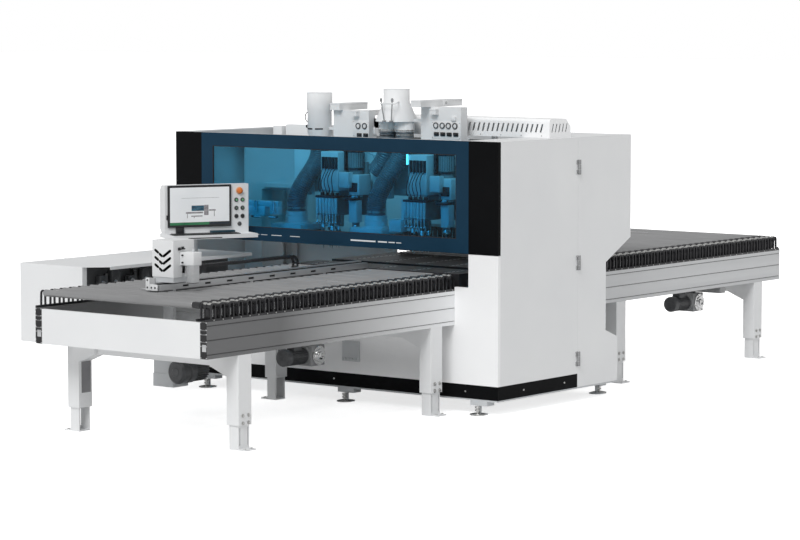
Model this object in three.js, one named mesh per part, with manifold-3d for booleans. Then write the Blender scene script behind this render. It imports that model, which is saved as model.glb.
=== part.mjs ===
// Six sided CNC drilling machine: a panel rides on an infeed roller bed into a
// cabinet, two upper heads and one lower head drill it, and it leaves on an
// outfeed roller bed. Millimetres, +Z up, +Y is the feed direction, +X is to the
// right seen from the infeed. The origin is on the floor, under the middle.
import * as THREE from 'three';
import { mergeVertices } from 'three/addons/utils/BufferGeometryUtils.js';
import Module from 'manifold-3d';

const wasm = await Module();
wasm.setup();

// Clearances and overruns that every piece shares
const seat = 0.3; // between two pieces that touch
const running = 1; // between two pieces that slide on each other
const bite = 2; // how deep joined stretches of one piece run into each other
const overrun = 5; // how far a cutter runs past the face that it leaves

// Driving dimensions
const cabinet = {
  width: 3080,
  frontY: -950,
  depth: 1716,
  top: 1971,
  doorDepth: 1010, // front face to the seam behind the access door
  cassette: 30, // folded depth of the sheet panels
  sheet: 3,
  kickTop: 214,
  kickBottom: 114,
  frameBottom: 101,
  slotBottom: 915, // the panel passes between these two heights
  slotTop: 1161,
  notchTop: 1192, // rear recess that takes the outfeed bed
  notchUpper: 1022,
  notchLower: 508,
  notchFoot: 447,
  notchDepth: 332,
  footDepth: 170,
};
const frame = {
  rail: 90, // width of the floor frame's rails
  post: 64,
  postInset: 4,
  headRail: 60,
  footPad: 115,
  footPadHeight: 14,
  footStud: 20,
  footBracket: 150,
  footBracketThick: 34,
  footShares: [-0.8, 0.09, 0.888], // along half the cabinet's width
};
const front = {
  coverEnd: 264, // black end covers, measured along the front
  cornerTop: 1156,
  borderSide: 112, // navy border round the clear pane
  borderTop: 99,
  borderBottom: 103,
  frameThick: 34,
  paneThick: 8,
  paneRebate: 12,
};
const hinge = { radius: 11, height: 111, leafWide: 26, leafThick: 5, pin: 5, heights: [327, 1043, 1752] };
const roof = { leftMargin: 40, rightMargin: 330, openFront: -890, openRear: 480, thick: 3 };
const gantry = {
  beamFront: -230,
  beamDepth: 260,
  beamBottom: 1500,
  beamTop: 1900,
  columnWidth: 180,
  columnInset: 170, // from the cabinet's side to the middle of each column
  railWide: 34,
  railProud: 22,
  lowerBottom: 400,
  lowerTop: 620,
};
const chainCover = {
  left: -160,
  rightInset: 100,
  frontY: -172,
  depth: 276,
  height: 139,
  corner: 26,
  chamfer: 62,
  sheet: 4,
  slotCount: 25,
  slotPitch: 44,
  slotWidth: 15,
  slotRise: 62,
  slotLean: 18,
  endSlotCount: 5,
};
const conveyor = {
  length: 7300,
  middleX: 371,
  halfWidth: 780,
  beamWidth: 61,
  beamBottom: 639,
  beamTop: 885,
  grooveWide: 12,
  grooveDeep: 9,
  grooveEdge: 28,
  endPanelInset: 24,
};
const bed = {
  pitch: 90,
  roller: 48,
  rollerTop: 1006,
  rollerSides: 8,
  fingerTopWide: 50.5,
  finger: 52,
  fingerTop: 1007,
  fingerSlope: 60, // lean of the foot at the end of a row
  bracketWide: 101, // right bracket, across
  bracketLeg: 40, // each of its two legs
  bracketCap: 16,
  leftBracket: 28,
  strip: 15,
  drillGap: 70, // half the open gap over the lower head
};
const drillLineY = -500;
const table = { frontDepth: 330, rearDepth: 790, top: 1004, groove: 40, grooveDeep: 8, grooveCount: 5 };
const trestle = {
  infeedInset: 311,
  frontGap: 278, // before the cabinet
  rearGap: 402, // behind the cabinet
  outfeedInset: 410,
  legWide: 105,
  legDeep: 130,
  legBottom: 167,
  innerWide: 82,
  innerDeep: 108,
  innerWall: 8,
  slotWide: 12,
  slotEdge: 25,
  slotTop: 150,
  plateOut: 50,
  plateThick: 10,
  crossHigh: 90,
  crossDeep: 60,
  gusset: 150,
};
const housing = {
  bedGap: 505, // from the housing to the infeed bed
  setBack: 991, // from the infeed's end
  armShares: [0.12, 0.6], // along the housing
  bottom: 490,
  top: 1067,
  roofReach: 144,
  sheet: 4,
  returnWide: 46,
};
const fence = {
  left: 250,
  right: 360,
  frontInset: 420, // from the infeed's end
  rearGap: 10, // before the cabinet
  bottom: 1012,
  top: 1050,
  railWide: 34,
  railHigh: 12,
  pocketPitch: 230,
  pocketLong: 60,
  pocketDeep: 10,
  pocketHigh: 14,
  endPlate: 10,
  ledgeThick: 4,
  postWide: 90,
  postThick: 30, // stands between two rollers
  postShares: [0.18, 0.48, 0.78], // of the infeed's rollers, to the posts' gaps
  barBottom: 700,
  barHigh: 50,
};
const gripper = {
  coverLeft: 216,
  coverRight: 410,
  coverInset: 80, // from the fence's front
  coverDeep: 210,
  coverBottom: 1098,
  coverTop: 1350,
  coverSheet: 4,
  cylinderRight: 535,
  cylinderDeep: 79,
  cylinderBottom: 1180,
  cylinderTop: 1270,
  jawDeep: 60,
  jawWide: 56,
  jawBottom: 1085,
  jawTravel: 40,
  jawRod: 8,
  slotWide: 11,
  slotLong: 54,
  slotLean: 34,
  slotRows: 3,
  slotPitch: 50,
};
const cableChain = {
  wide: 44,
  thick: 24,
  radius: 52, // of the middle of the chain in its bend
  reach: 1297, // from the gripper's rear to the bend
  lowerLength: 560,
  clearance: 3, // to the gripper's cover, which runs past it
};
const head1 = {
  columnLeft: -455,
  columnRight: -109,
  ductX: -592,
  ductNeck: 132, // above the duct's step
  boxX: -409,
  boxWide: 92,
  boxFront: -390,
  boxLong: 347,
  boxTop: 2197,
  boxHigh: 54,
  trunkX: -224,
  trunkWide: 47,
  trunkTop: 2143,
  spindleX: -393,
  motorX: -215,
  hoodX: -720,
};
const head2 = {
  columnLeft: 390,
  columnRight: 764,
  ductX: 158,
  ductNeck: 126, // above the spreading hood
  boxX: 436,
  boxWide: 92,
  boxFront: -475,
  boxLong: 520,
  boxTop: 2236,
  boxHigh: 51,
  trunkX: 528,
  trunkWide: 56,
  trunkTop: 2172,
  spindleX: 470,
  motorX: 650,
  hoodX: 60,
};
const head = {
  columnFront: -350,
  columnRear: -270,
  trunkHigh: 43,
  trunkLong: 322,
  trunkFront: 40, // before the column
  plateThick: 30,
  duct: 200,
  ductWall: 4,
  ductLowerInset: 6,
  ductBottom: 1900,
  ductStepZ: 2144,
  hoodTop: 2190,
  hoodBottom: 2070,
  hoodSpread: 59,
  outlet: 150,
  outletBottom: 1994,
  hose: 138,
  hoseWall: 5,
  ribPitch: 22,
  ribHeight: 5,
  saddle: 60,
  zRail: 24,
  zRailProud: 14,
  zRailGap: 170,
  zRailTop: 1820,
  zRailBottom: 1400,
  armHigh: 26,
  hoodBoxBottom: 1221,
  hoodBoxHigh: 48,
  hoodBoxDeep: 260,
  hoodBoxWide: 300,
  hoodNeck: 170,
  hoodNeckTop: 1362,
  blockTop: 1480,
  blockBottom: 1345,
  blockDeep: 250,
  blockWide: 190,
  blockChamfer: 36,
  spindleCount: 5,
  spindle: 28,
  spindleBottom: 1235,
  bit: 9,
  bitBottom: 1085,
  motor: 124,
  motorBottom: 1690,
  motorTop: 1850,
  routerBody: 110,
  routerNose: 56,
};
const lowerHead = {
  x: 60,
  width: 360,
  plateThick: 24,
  top: 840,
  bottom: 430,
  blockTop: 838,
  blockBottom: 680,
  blockDeep: 200,
  spindleTop: 925,
  bitTop: 975,
};
const pump = {
  x: -167,
  setBack: 1150, // from the infeed's end
  radius: 85,
  length: 300,
  axisZ: 343,
  standX: -373,
  standWide: 197,
  standDeep: 160,
  standBottom: 216,
};
const gearMotor = { radius: 62, length: 250, block: 150, flange: 70, rail: 50 };
const infeedMotor = { x: 275, frontGap: 900, axisZ: 414 }; // its gap is to the cabinet
const outfeedMotor = { x: 840, endGap: 1230, axisZ: 500 }; // its gap is to the outfeed's end
const consoleDesk = {
  postX: -960,
  postY: -1390,
  postRadius: 24,
  turnDeg: 62.45, // how far the screen's face turns from facing the infeed
  width: 672,
  bottom: 1236,
  top: 1600,
  deep: 110,
  backInset: 60,
  middleShift: 80,
  bezelWide: 500,
  bezelHigh: 310,
  bezelInset: 20,
  bezelDeep: 10,
  buttonPanel: 147,
  trayDeep: 300,
  trayThick: 30,
  trayLip: 8,
  stop: 22,
  stopStem: 12,
  stopProud: 26,
  stopTravel: 6,
  button: 13,
  buttonProud: 9,
  buttonTravel: 4,
  buttonRowShares: [0.33, 0.5, 0.67], // up the button panel
  stopShare: 0.86,
  lampShare: 0.17,
  buttonGap: 50,
};

// Values that follow from the driving dimensions
const side = cabinet.width / 2;
const cabinetRear = cabinet.frontY + cabinet.depth;
const doorSeam = cabinet.frontY + cabinet.doorDepth;
const baseRear = cabinetRear - cabinet.footDepth; // rear of the floor frame
const columnX = side - gantry.columnInset;
const roofOpeningX = [roof.leftMargin - side, side - roof.rightMargin];
const infeedEnd = -conveyor.length / 2;
const outfeedEnd = conveyor.length / 2;
const rightFace = conveyor.middleX + conveyor.halfWidth;
const leftFace = conveyor.middleX - conveyor.halfWidth;
const housingX = [-side, leftFace - housing.bedGap];
const housingFront = infeedEnd + housing.setBack;
const fenceFront = infeedEnd + fence.frontInset;
const fenceRear = cabinet.frontY - fence.rearGap;
const gripperFront = fenceFront + gripper.coverInset;
const gripperRear = gripperFront + gripper.coverDeep;
const chainBend = gripperRear + cableChain.reach;
const trestlePlaces = [
  infeedEnd + trestle.infeedInset,
  cabinet.frontY - trestle.frontGap,
  cabinetRear + trestle.rearGap,
  outfeedEnd - trestle.outfeedInset,
];
const rightBeam = [rightFace - conveyor.beamWidth, rightFace];
const leftBeam = [leftFace, leftFace + conveyor.beamWidth];
const rollerZ = bed.rollerTop - bed.roller / 2;
const gantryRear = gantry.beamFront + gantry.beamDepth;
const carriageFace = gantry.beamFront - gantry.railProud - running;
const ductY = head.columnFront;
const hoseBore = head.hose / 2 - head.ribHeight - head.hoseWall;

const group = new THREE.Group();

// Materials
const paint = (color, roughness, metalness = 0, opacity = 1) => new THREE.MeshStandardMaterial({
  color, roughness, metalness, opacity, transparent: opacity < 1,
});
const white = paint(0xe8eaeb, 0.42);
const grey = paint(0xc9ccce, 0.5);
const black = paint(0x15171a, 0.4);
const navy = paint(0x15293c, 0.25);
const blueGlass = paint(0x2d86b4, 0.08, 0, 0.4);
const aluminium = paint(0x8c8f92, 0.38, 0.9);
const plastic = paint(0x1b1c1e, 0.55);
const hosePlastic = paint(0x3d464c, 0.35);
const orange = paint(0xe2571b, 0.4);
const buttonPaint = paint(0x2c7f4a, 0.4);

// Solids: a closed geometry turned into one that can be joined and cut
function solid(geometry) {
  const plain = geometry.clone();
  for (const name of Object.keys(plain.attributes)) {
    if (name !== 'position') plain.deleteAttribute(name);
  }
  const welded = mergeVertices(plain, 1e-4);
  const corners = welded.index.array;
  const triangles = [];
  for (let i = 0; i < corners.length; i += 3) {
    const [a, b, c] = [corners[i], corners[i + 1], corners[i + 2]];
    if (a !== b && b !== c && c !== a) triangles.push(a, b, c);
  }
  const build = (order) => new wasm.Manifold(new wasm.Mesh({
    numProp: 3,
    vertProperties: new Float32Array(welded.attributes.position.array),
    triVerts: new Uint32Array(order),
  }));
  const first = build(triangles);
  if (first.volume() > 0) return first;
  return build(triangles.reverse());
}

// A block between two values on each axis
function block([x0, x1], [y0, y1], [z0, z1]) {
  const geometry = new THREE.BoxGeometry(x1 - x0, y1 - y0, z1 - z0);
  geometry.translate((x0 + x1) / 2, (y0 + y1) / 2, (z0 + z1) / 2);
  return solid(geometry);
}

// Turns a shape's own axes (u, v, depth) to the model's: along x the outline is
// given as (y, z), along y as (x, z) and along z as (x, y)
const turnTo = {
  x: new THREE.Matrix4().set(0, 0, 1, 0, 1, 0, 0, 0, 0, 1, 0, 0, 0, 0, 0, 1),
  y: new THREE.Matrix4().set(1, 0, 0, 0, 0, 0, -1, 0, 0, 1, 0, 0, 0, 0, 0, 1),
  z: new THREE.Matrix4(),
};

// An outline pushed along one axis
function prism(axis, outline, from, to, arcSteps = 6) {
  const shape = outline instanceof THREE.Shape
    ? outline
    : new THREE.Shape(outline.map(([u, v]) => new THREE.Vector2(u, v)));
  const geometry = new THREE.ExtrudeGeometry(shape, {
    depth: to - from, bevelEnabled: false, steps: 1, curveSegments: arcSteps,
  });
  geometry.translate(0, 0, axis === 'y' ? -to : from);
  geometry.applyMatrix4(turnTo[axis]);
  return solid(geometry);
}

// A body turned about an axis through a place: the profile is (radius, height)
function turned(axis, [u, v], profile, sides = 16) {
  const points = profile.map(([radius, height]) => new THREE.Vector2(radius, height));
  const geometry = new THREE.LatheGeometry(points, sides);
  geometry.rotateX(Math.PI / 2);
  if (axis === 'x') geometry.rotateY(Math.PI / 2);
  if (axis === 'y') geometry.rotateX(-Math.PI / 2);
  if (axis === 'x') geometry.translate(0, u, v);
  if (axis === 'y') geometry.translate(u, 0, v);
  if (axis === 'z') geometry.translate(u, v, 0);
  return solid(geometry);
}

const rod = (axis, place, radius, from, to, sides = 16) => turned(
  axis, place, [[0, from], [radius, from], [radius, to], [0, to]], sides,
);

const join = (...solids) => solids.flat().reduce((whole, next) => whole.add(next));
const cut = (whole, ...cutters) => cutters.flat().reduce((rest, next) => rest.subtract(next), whole);
const times = (count, make) => Array.from({ length: count }, (_, i) => make(i));

// A named piece in the scene
function piece(name, body, material) {
  const { vertProperties, triVerts } = body.getMesh();
  const geometry = new THREE.BufferGeometry();
  geometry.setAttribute('position', new THREE.BufferAttribute(vertProperties, 3));
  geometry.setIndex(new THREE.BufferAttribute(triVerts, 1));
  geometry.computeVertexNormals();
  const mesh = new THREE.Mesh(geometry, material);
  mesh.name = name;
  group.add(mesh);
  return mesh;
}

// A folded sheet cassette: a shallow tray whose open side faces inwards.
// The box is its outer size, and inward names the side that is open.
function cassette([x0, x1], [y0, y1], [z0, z1], inward, sheet = cabinet.sheet) {
  const open = {
    '-x': [[x0 - overrun, x1 - sheet], [y0 + sheet, y1 - sheet], [z0 + sheet, z1 - sheet]],
    '+x': [[x0 + sheet, x1 + overrun], [y0 + sheet, y1 - sheet], [z0 + sheet, z1 - sheet]],
    '-y': [[x0 + sheet, x1 - sheet], [y0 - overrun, y1 - sheet], [z0 + sheet, z1 - sheet]],
    '+y': [[x0 + sheet, x1 - sheet], [y0 + sheet, y1 + overrun], [z0 + sheet, z1 - sheet]],
  }[inward];
  return cut(block([x0, x1], [y0, y1], [z0, z1]), block(...open));
}

// Floor frame: a ring of rails with cross rails under the gantry columns, and
// six levelling feet on brackets
function baseFrame() {
  const inset = cabinet.sheet + seat;
  const x = side - inset;
  const yFront = cabinet.frontY + inset;
  const yRear = baseRear - inset;
  const z = [cabinet.frameBottom, cabinet.kickTop - seat];
  const ring = cut(
    block([-x, x], [yFront, yRear], z),
    block(
      [-x + frame.rail, x - frame.rail],
      [yFront + frame.rail, yRear - frame.rail],
      [z[0] - overrun, z[1] + overrun],
    ),
  );
  const columnRails = [-1, 1].map((hand) => block(
    [hand * columnX - gantry.columnWidth / 2, hand * columnX + gantry.columnWidth / 2],
    [yFront + bite, yRear - bite],
    z,
  ));
  const feet = frame.footShares.flatMap((share) => [yFront, yRear].map((y) => levellingFoot(
    share * side, y, y < 0 ? 1 : -1,
  )));
  return join(ring, columnRails, feet);
}

// One levelling foot: bracket under the rail, stud and pad
function levellingFoot(x, railFace, inward) {
  const y = railFace + inward * frame.footPad / 5;
  const bracketRear = railFace + inward * frame.rail;
  const bracket = block(
    [x - frame.footBracket / 2, x + frame.footBracket / 2],
    [Math.min(railFace, bracketRear), Math.max(railFace, bracketRear)],
    [cabinet.frameBottom - frame.footBracketThick, cabinet.frameBottom + bite],
  );
  const pad = frame.footPad / 2;
  const stud = frame.footStud / 2;
  const foot = turned('z', [x, y], [
    [0, 0],
    [pad, 0],
    [pad, frame.footPadHeight / 2],
    [stud, frame.footPadHeight],
    [stud, cabinet.frameBottom],
    [0, cabinet.frameBottom],
  ], 10);
  return join(bracket, foot);
}

piece('base_frame', baseFrame(), grey);

// Black kick skirt round the front of the floor frame, back to the door's seam
function kickSkirt() {
  const z = [cabinet.kickBottom, cabinet.kickTop - seat];
  const rear = doorSeam - running;
  return cut(
    block([-side, side], [cabinet.frontY, rear], z),
    block(
      [-side + cabinet.sheet, side - cabinet.sheet],
      [cabinet.frontY + cabinet.sheet, rear + overrun],
      [z[0] - overrun, z[1] + overrun],
    ),
  );
}

piece('kick_skirt', kickSkirt(), black);

// Enclosure frame: four posts, a rail ring under the roof and a rail across the
// front that the infeed beams rest on
const postOuter = side - cabinet.cassette - frame.postInset;
const postRow = {
  front: cabinet.frontY + cabinet.cassette + frame.postInset,
  rear: cabinetRear - cabinet.notchDepth - cabinet.cassette - frame.postInset,
};
const roofUnderside = cabinet.top - roof.thick - seat;

function enclosureFrame() {
  const posts = [-1, 1].flatMap((hand) => [postRow.front, postRow.rear - frame.post].map((y) => block(
    hand > 0 ? [postOuter - frame.post, postOuter] : [-postOuter, -postOuter + frame.post],
    [y, y + frame.post],
    [cabinet.kickTop, roofUnderside],
  )));
  const z = [roofUnderside - frame.headRail, roofUnderside];
  const rearFace = cabinetRear - cabinet.cassette - seat;
  const ring = cut(
    block([-postOuter, postOuter], [postRow.front, rearFace], z),
    block(
      [-postOuter + frame.headRail, roofOpeningX[1]],
      [postRow.front + frame.headRail - bite, roof.openRear],
      [z[0] - overrun, z[1] + overrun],
    ),
    block(
      [-postOuter + frame.headRail, postOuter - frame.headRail],
      [roof.openRear + frame.headRail, rearFace - frame.headRail],
      [z[0] - overrun, z[1] + overrun],
    ),
  );
  const beamRail = block(
    [-postOuter + bite, postOuter - bite],
    [postRow.front, postRow.front + frame.post],
    [conveyor.beamBottom - seat - frame.headRail, conveyor.beamBottom - seat],
  );
  return join(posts, ring, beamRail);
}

piece('enclosure_frame', enclosureFrame(), grey);

// Gantry base: two columns and the low beam that the lower head rides on, with
// pads on it for the outfeed beams
const columnSpan = (hand) => [
  hand * columnX - gantry.columnWidth / 2,
  hand * columnX + gantry.columnWidth / 2,
];

function gantryBase() {
  const columns = [-1, 1].map((hand) => block(
    columnSpan(hand), [gantry.beamFront, gantryRear], [cabinet.kickTop, gantry.beamBottom - seat],
  ));
  const lowBeam = block(
    [-columnX, columnX],
    [gantry.beamFront, gantryRear],
    [gantry.lowerBottom, gantry.lowerTop],
  );
  const padY = [gantry.beamFront + overrun, gantryRear - overrun];
  const padZ = [gantry.lowerTop - bite, conveyor.beamBottom - seat];
  const pads = [rightBeam, leftBeam].map((x) => block(x, padY, padZ));
  return join(columns, lowBeam, pads, linearRails(gantry.lowerBottom, gantry.lowerTop));
}

// Two linear rails on the front of a beam, near its lower and upper edges
function linearRails(bottom, top) {
  const reach = columnX - gantry.columnWidth / 2 - gantry.railWide;
  return [bottom + gantry.railWide, top - gantry.railWide].map((z) => block(
    [-reach, reach],
    [gantry.beamFront - gantry.railProud, gantry.beamFront + bite],
    [z - gantry.railWide / 2, z + gantry.railWide / 2],
  ));
}

piece('gantry_base', gantryBase(), grey);

// Upper gantry beam with its rails
function gantryBeam() {
  const reach = columnX + gantry.columnWidth / 2;
  const tube = block([-reach, reach], [gantry.beamFront, gantryRear], [gantry.beamBottom, gantry.beamTop]);
  return join(tube, linearRails(gantry.beamBottom, gantry.beamTop));
}

piece('gantry_beam', gantryBeam(), grey);

// Front: white lower sheet with its tall right corner, cut out for the beams
function lowerFrontPanel() {
  const right = side - front.coverEnd;
  const outline = [
    [-side, cabinet.kickTop],
    [side, cabinet.kickTop],
    [side, front.cornerTop],
    [right, front.cornerTop],
    [right, cabinet.slotBottom],
    [-side, cabinet.slotBottom],
  ];
  const s = cabinet.sheet;
  const inner = [
    [-side + s, cabinet.kickTop + s],
    [side - s, cabinet.kickTop + s],
    [side - s, front.cornerTop - s],
    [right + s, front.cornerTop - s],
    [right + s, cabinet.slotBottom - s],
    [-side + s, cabinet.slotBottom - s],
  ];
  const y = cabinet.frontY;
  const skin = prism('y', outline, y, y + cabinet.cassette);
  const pocket = prism('y', inner, y + s, y + cabinet.cassette + overrun);
  const beamHoles = [rightBeam, leftBeam].map(([x0, x1]) => block(
    [x0 - running, x1 + running],
    [y - overrun, y + cabinet.cassette + overrun],
    [conveyor.beamBottom - running, cabinet.slotBottom + overrun],
  ));
  const stripHoles = [
    [rightFace - bed.bracketWide - running, rightFace + running],
    [leftFace - running, leftFace + conveyor.beamWidth + running],
  ].map((x) => block(
    x,
    [y - overrun, y + cabinet.cassette + overrun],
    [conveyor.beamTop - running, cabinet.slotBottom + overrun],
  ));
  return cut(skin, pocket, beamHoles, stripHoles);
}

piece('lower_front_panel', lowerFrontPanel(), white);

// Black end covers of the front, folded back at the cabinet's corners
function frontCover(hand) {
  const inner = side - front.coverEnd + seat;
  const s = cabinet.sheet;
  const y = cabinet.frontY;
  const z = [cabinet.slotTop, cabinet.top];
  const span = (a, b) => (hand > 0 ? [a, b] : [-b, -a]);
  const shell = block(span(inner, side), [y, y + cabinet.cassette], z);
  const hollow = block(
    span(inner + s, side - s), [y + s, y + cabinet.cassette + overrun], [z[0] + s, z[1] - s],
  );
  return cut(shell, hollow);
}

piece('front_cover_left', frontCover(-1), black);
piece('front_cover_right', frontCover(1), black);

// Navy window frame between the covers, rebated behind for the pane
const windowOuter = {
  x: side - front.coverEnd - seat,
  bottom: cabinet.slotTop,
  top: cabinet.top,
};
const windowClear = {
  x: windowOuter.x - front.borderSide,
  bottom: windowOuter.bottom + front.borderBottom,
  top: windowOuter.top - front.borderTop,
};

function windowFrame() {
  const y = cabinet.frontY;
  const { x, bottom, top } = windowOuter;
  const clear = windowClear;
  const plate = block([-x, x], [y, y + front.frameThick], [bottom, top]);
  const opening = block(
    [-clear.x, clear.x], [y - overrun, y + front.frameThick + overrun], [clear.bottom, clear.top],
  );
  const rebate = block(
    [-clear.x - front.paneRebate, clear.x + front.paneRebate],
    [y + front.paneThick, y + front.frameThick + overrun],
    [clear.bottom - front.paneRebate, clear.top + front.paneRebate],
  );
  return cut(plate, opening, rebate);
}

piece('window_frame', windowFrame(), navy);

const paneGrow = front.paneRebate - seat;
piece('window_pane', block(
  [-windowClear.x - paneGrow, windowClear.x + paneGrow],
  [
    cabinet.frontY + front.paneThick + seat,
    cabinet.frontY + front.paneThick * 2,
  ],
  [windowClear.bottom - paneGrow, windowClear.top + paneGrow],
), blueGlass);

// Access door on the right side, hinged at its rear edge
const doorX = [side - cabinet.cassette, side];
const doorY = [cabinet.frontY + cabinet.cassette + seat, doorSeam - running];
const doorZ = [cabinet.kickTop + seat, cabinet.top - roof.thick - seat];
const hingeY = doorSeam - running / 2;
const hingeX = side + hinge.radius + running;
const knuckle = hinge.height / 3;
const leafX = [side - bite, side + running + hinge.leafThick];
const hingeSides = 8;

function accessDoor() {
  const skin = cassette(doorX, doorY, doorZ, '-x');
  const knuckles = hinge.heights.flatMap((z) => [-1, 1].map((end) => {
    const from = z + end * knuckle - knuckle / 2 + seat;
    const to = z + end * knuckle + knuckle / 2 - seat;
    const barrel = rod('z', [hingeX, hingeY], hinge.radius, from, to, hingeSides);
    const leaf = block(leafX, [hingeY - hinge.leafWide, hingeY - running], [from, to]);
    const bore = rod('z', [hingeX, hingeY], hinge.pin + running, from - overrun, to + overrun, hingeSides);
    return join(barrel, leaf).subtract(bore);
  }));
  return join(skin, knuckles);
}

piece('access_door', accessDoor(), white);

// Fixed right side panel behind the door, with the hinge pins
const sideOutline = (from) => [
  [from, cabinet.kickTop + seat],
  [baseRear, cabinet.kickTop + seat],
  [baseRear, cabinet.notchFoot],
  [cabinetRear - cabinet.notchDepth, cabinet.notchLower],
  [cabinetRear - cabinet.notchDepth, cabinet.notchUpper],
  [cabinetRear, cabinet.notchTop],
  [cabinetRear, cabinet.top - roof.thick - seat],
  [from, cabinet.top - roof.thick - seat],
];

// A side sheet with a folded rim, opened on the machine's side
function sideSheet(outline, x0, x1, hand) {
  const rim = cabinet.sheet * 4;
  const skin = prism('x', outline, x0, x1);
  const ys = outline.map(([y]) => y);
  const zs = outline.map(([, z]) => z);
  const mid = [(Math.min(...ys) + Math.max(...ys)) / 2, (Math.min(...zs) + Math.max(...zs)) / 2];
  const span = [Math.max(...ys) - Math.min(...ys), Math.max(...zs) - Math.min(...zs)];
  const shrink = [(span[0] - 2 * rim) / span[0], (span[1] - 2 * rim) / span[1]];
  const inner = outline.map(([y, z]) => [
    mid[0] + (y - mid[0]) * shrink[0],
    mid[1] + (z - mid[1]) * shrink[1],
  ]);
  const pocket = hand > 0
    ? prism('x', inner, x0 - overrun, x1 - cabinet.sheet)
    : prism('x', inner, x0 + cabinet.sheet, x1 + overrun);
  return cut(skin, pocket);
}

// Behind the black kick a side sheet runs on down over the floor frame
const sideSkirt = (x) => block(
  x, [doorSeam, baseRear], [cabinet.kickBottom, cabinet.kickTop + cabinet.sheet],
);

function sidePanelRight() {
  const skirt = sideSkirt([side - cabinet.sheet, side]);
  const sheet = sideSheet(sideOutline(doorSeam), doorX[0], doorX[1], 1);
  const pins = hinge.heights.map((z) => {
    const barrel = rod('z', [hingeX, hingeY], hinge.radius, z - knuckle / 2, z + knuckle / 2, hingeSides);
    const pin = rod(
      'z', [hingeX, hingeY], hinge.pin, z - hinge.height / 2, z + hinge.height / 2, hingeSides,
    );
    const leaf = block(
      leafX, [hingeY + running, hingeY + hinge.leafWide], [z - knuckle / 2, z + knuckle / 2],
    );
    return join(barrel, pin, leaf);
  });
  return join(sheet, skirt, pins);
}

piece('side_panel_right', sidePanelRight(), white);

// Left side panel in one sheet
piece('side_panel_left', join(
  sideSheet(
    sideOutline(cabinet.frontY + cabinet.cassette + seat), -side, -side + cabinet.cassette, -1,
  ),
  sideSkirt([-side, -side + cabinet.sheet]),
), white);

// Rear: a cassette over the outfeed recess
const rearX = side - cabinet.cassette - seat;

function rearUpperPanel() {
  return cassette(
    [-rearX, rearX],
    [cabinetRear - cabinet.cassette, cabinetRear],
    [cabinet.notchTop, cabinet.top - roof.thick - seat],
    '-y',
  );
}

// Below, one folded sheet: low across the whole width, under the outfeed bed,
// and up to the upper sheet on both sides of it
function rearLowerPanel() {
  const s = cabinet.sheet;
  const foot = baseRear;
  const recess = cabinetRear - cabinet.notchDepth;
  const bottom = cabinet.kickBottom;
  const flange = cabinet.cassette;
  const low = [
    [foot, bottom],
    [foot, cabinet.notchFoot],
    [recess, cabinet.notchLower],
    [recess - flange, cabinet.notchLower],
    [recess - flange, cabinet.notchLower - s],
    [recess - s, cabinet.notchLower - s],
    [foot - s, cabinet.notchFoot - s],
    [foot - s, bottom],
  ];
  const high = [
    [foot, bottom],
    [foot, cabinet.notchFoot],
    [recess, cabinet.notchLower],
    [recess, cabinet.notchUpper],
    [cabinetRear - flange, cabinet.notchTop - seat],
    [cabinetRear - flange - s, cabinet.notchTop - seat],
    [recess - s, cabinet.notchUpper + s],
    [recess - s, cabinet.notchLower - s],
    [foot - s, cabinet.notchFoot - s],
    [foot - s, bottom],
  ];
  const gap = flange + running;
  return join(
    prism('x', low, -rearX, rearX),
    prism('x', high, -rearX, leftFace - gap),
    prism('x', high, rightFace + gap, rearX),
  );
}

piece('rear_upper_panel', rearUpperPanel(), white);
piece('rear_lower_panel', rearLowerPanel(), white);

// Roof sheet with the long opening that the heads' columns travel in
function roofPanel() {
  const z = [cabinet.top - roof.thick, cabinet.top];
  const sheet = block([-side, side], [cabinet.frontY + front.frameThick + seat, cabinetRear], z);
  const opening = block(
    roofOpeningX, [roof.openFront, roof.openRear], [z[0] - overrun, z[1] + overrun],
  );
  return cut(sheet, opening);
}

piece('roof_panel', roofPanel(), white);

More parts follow.
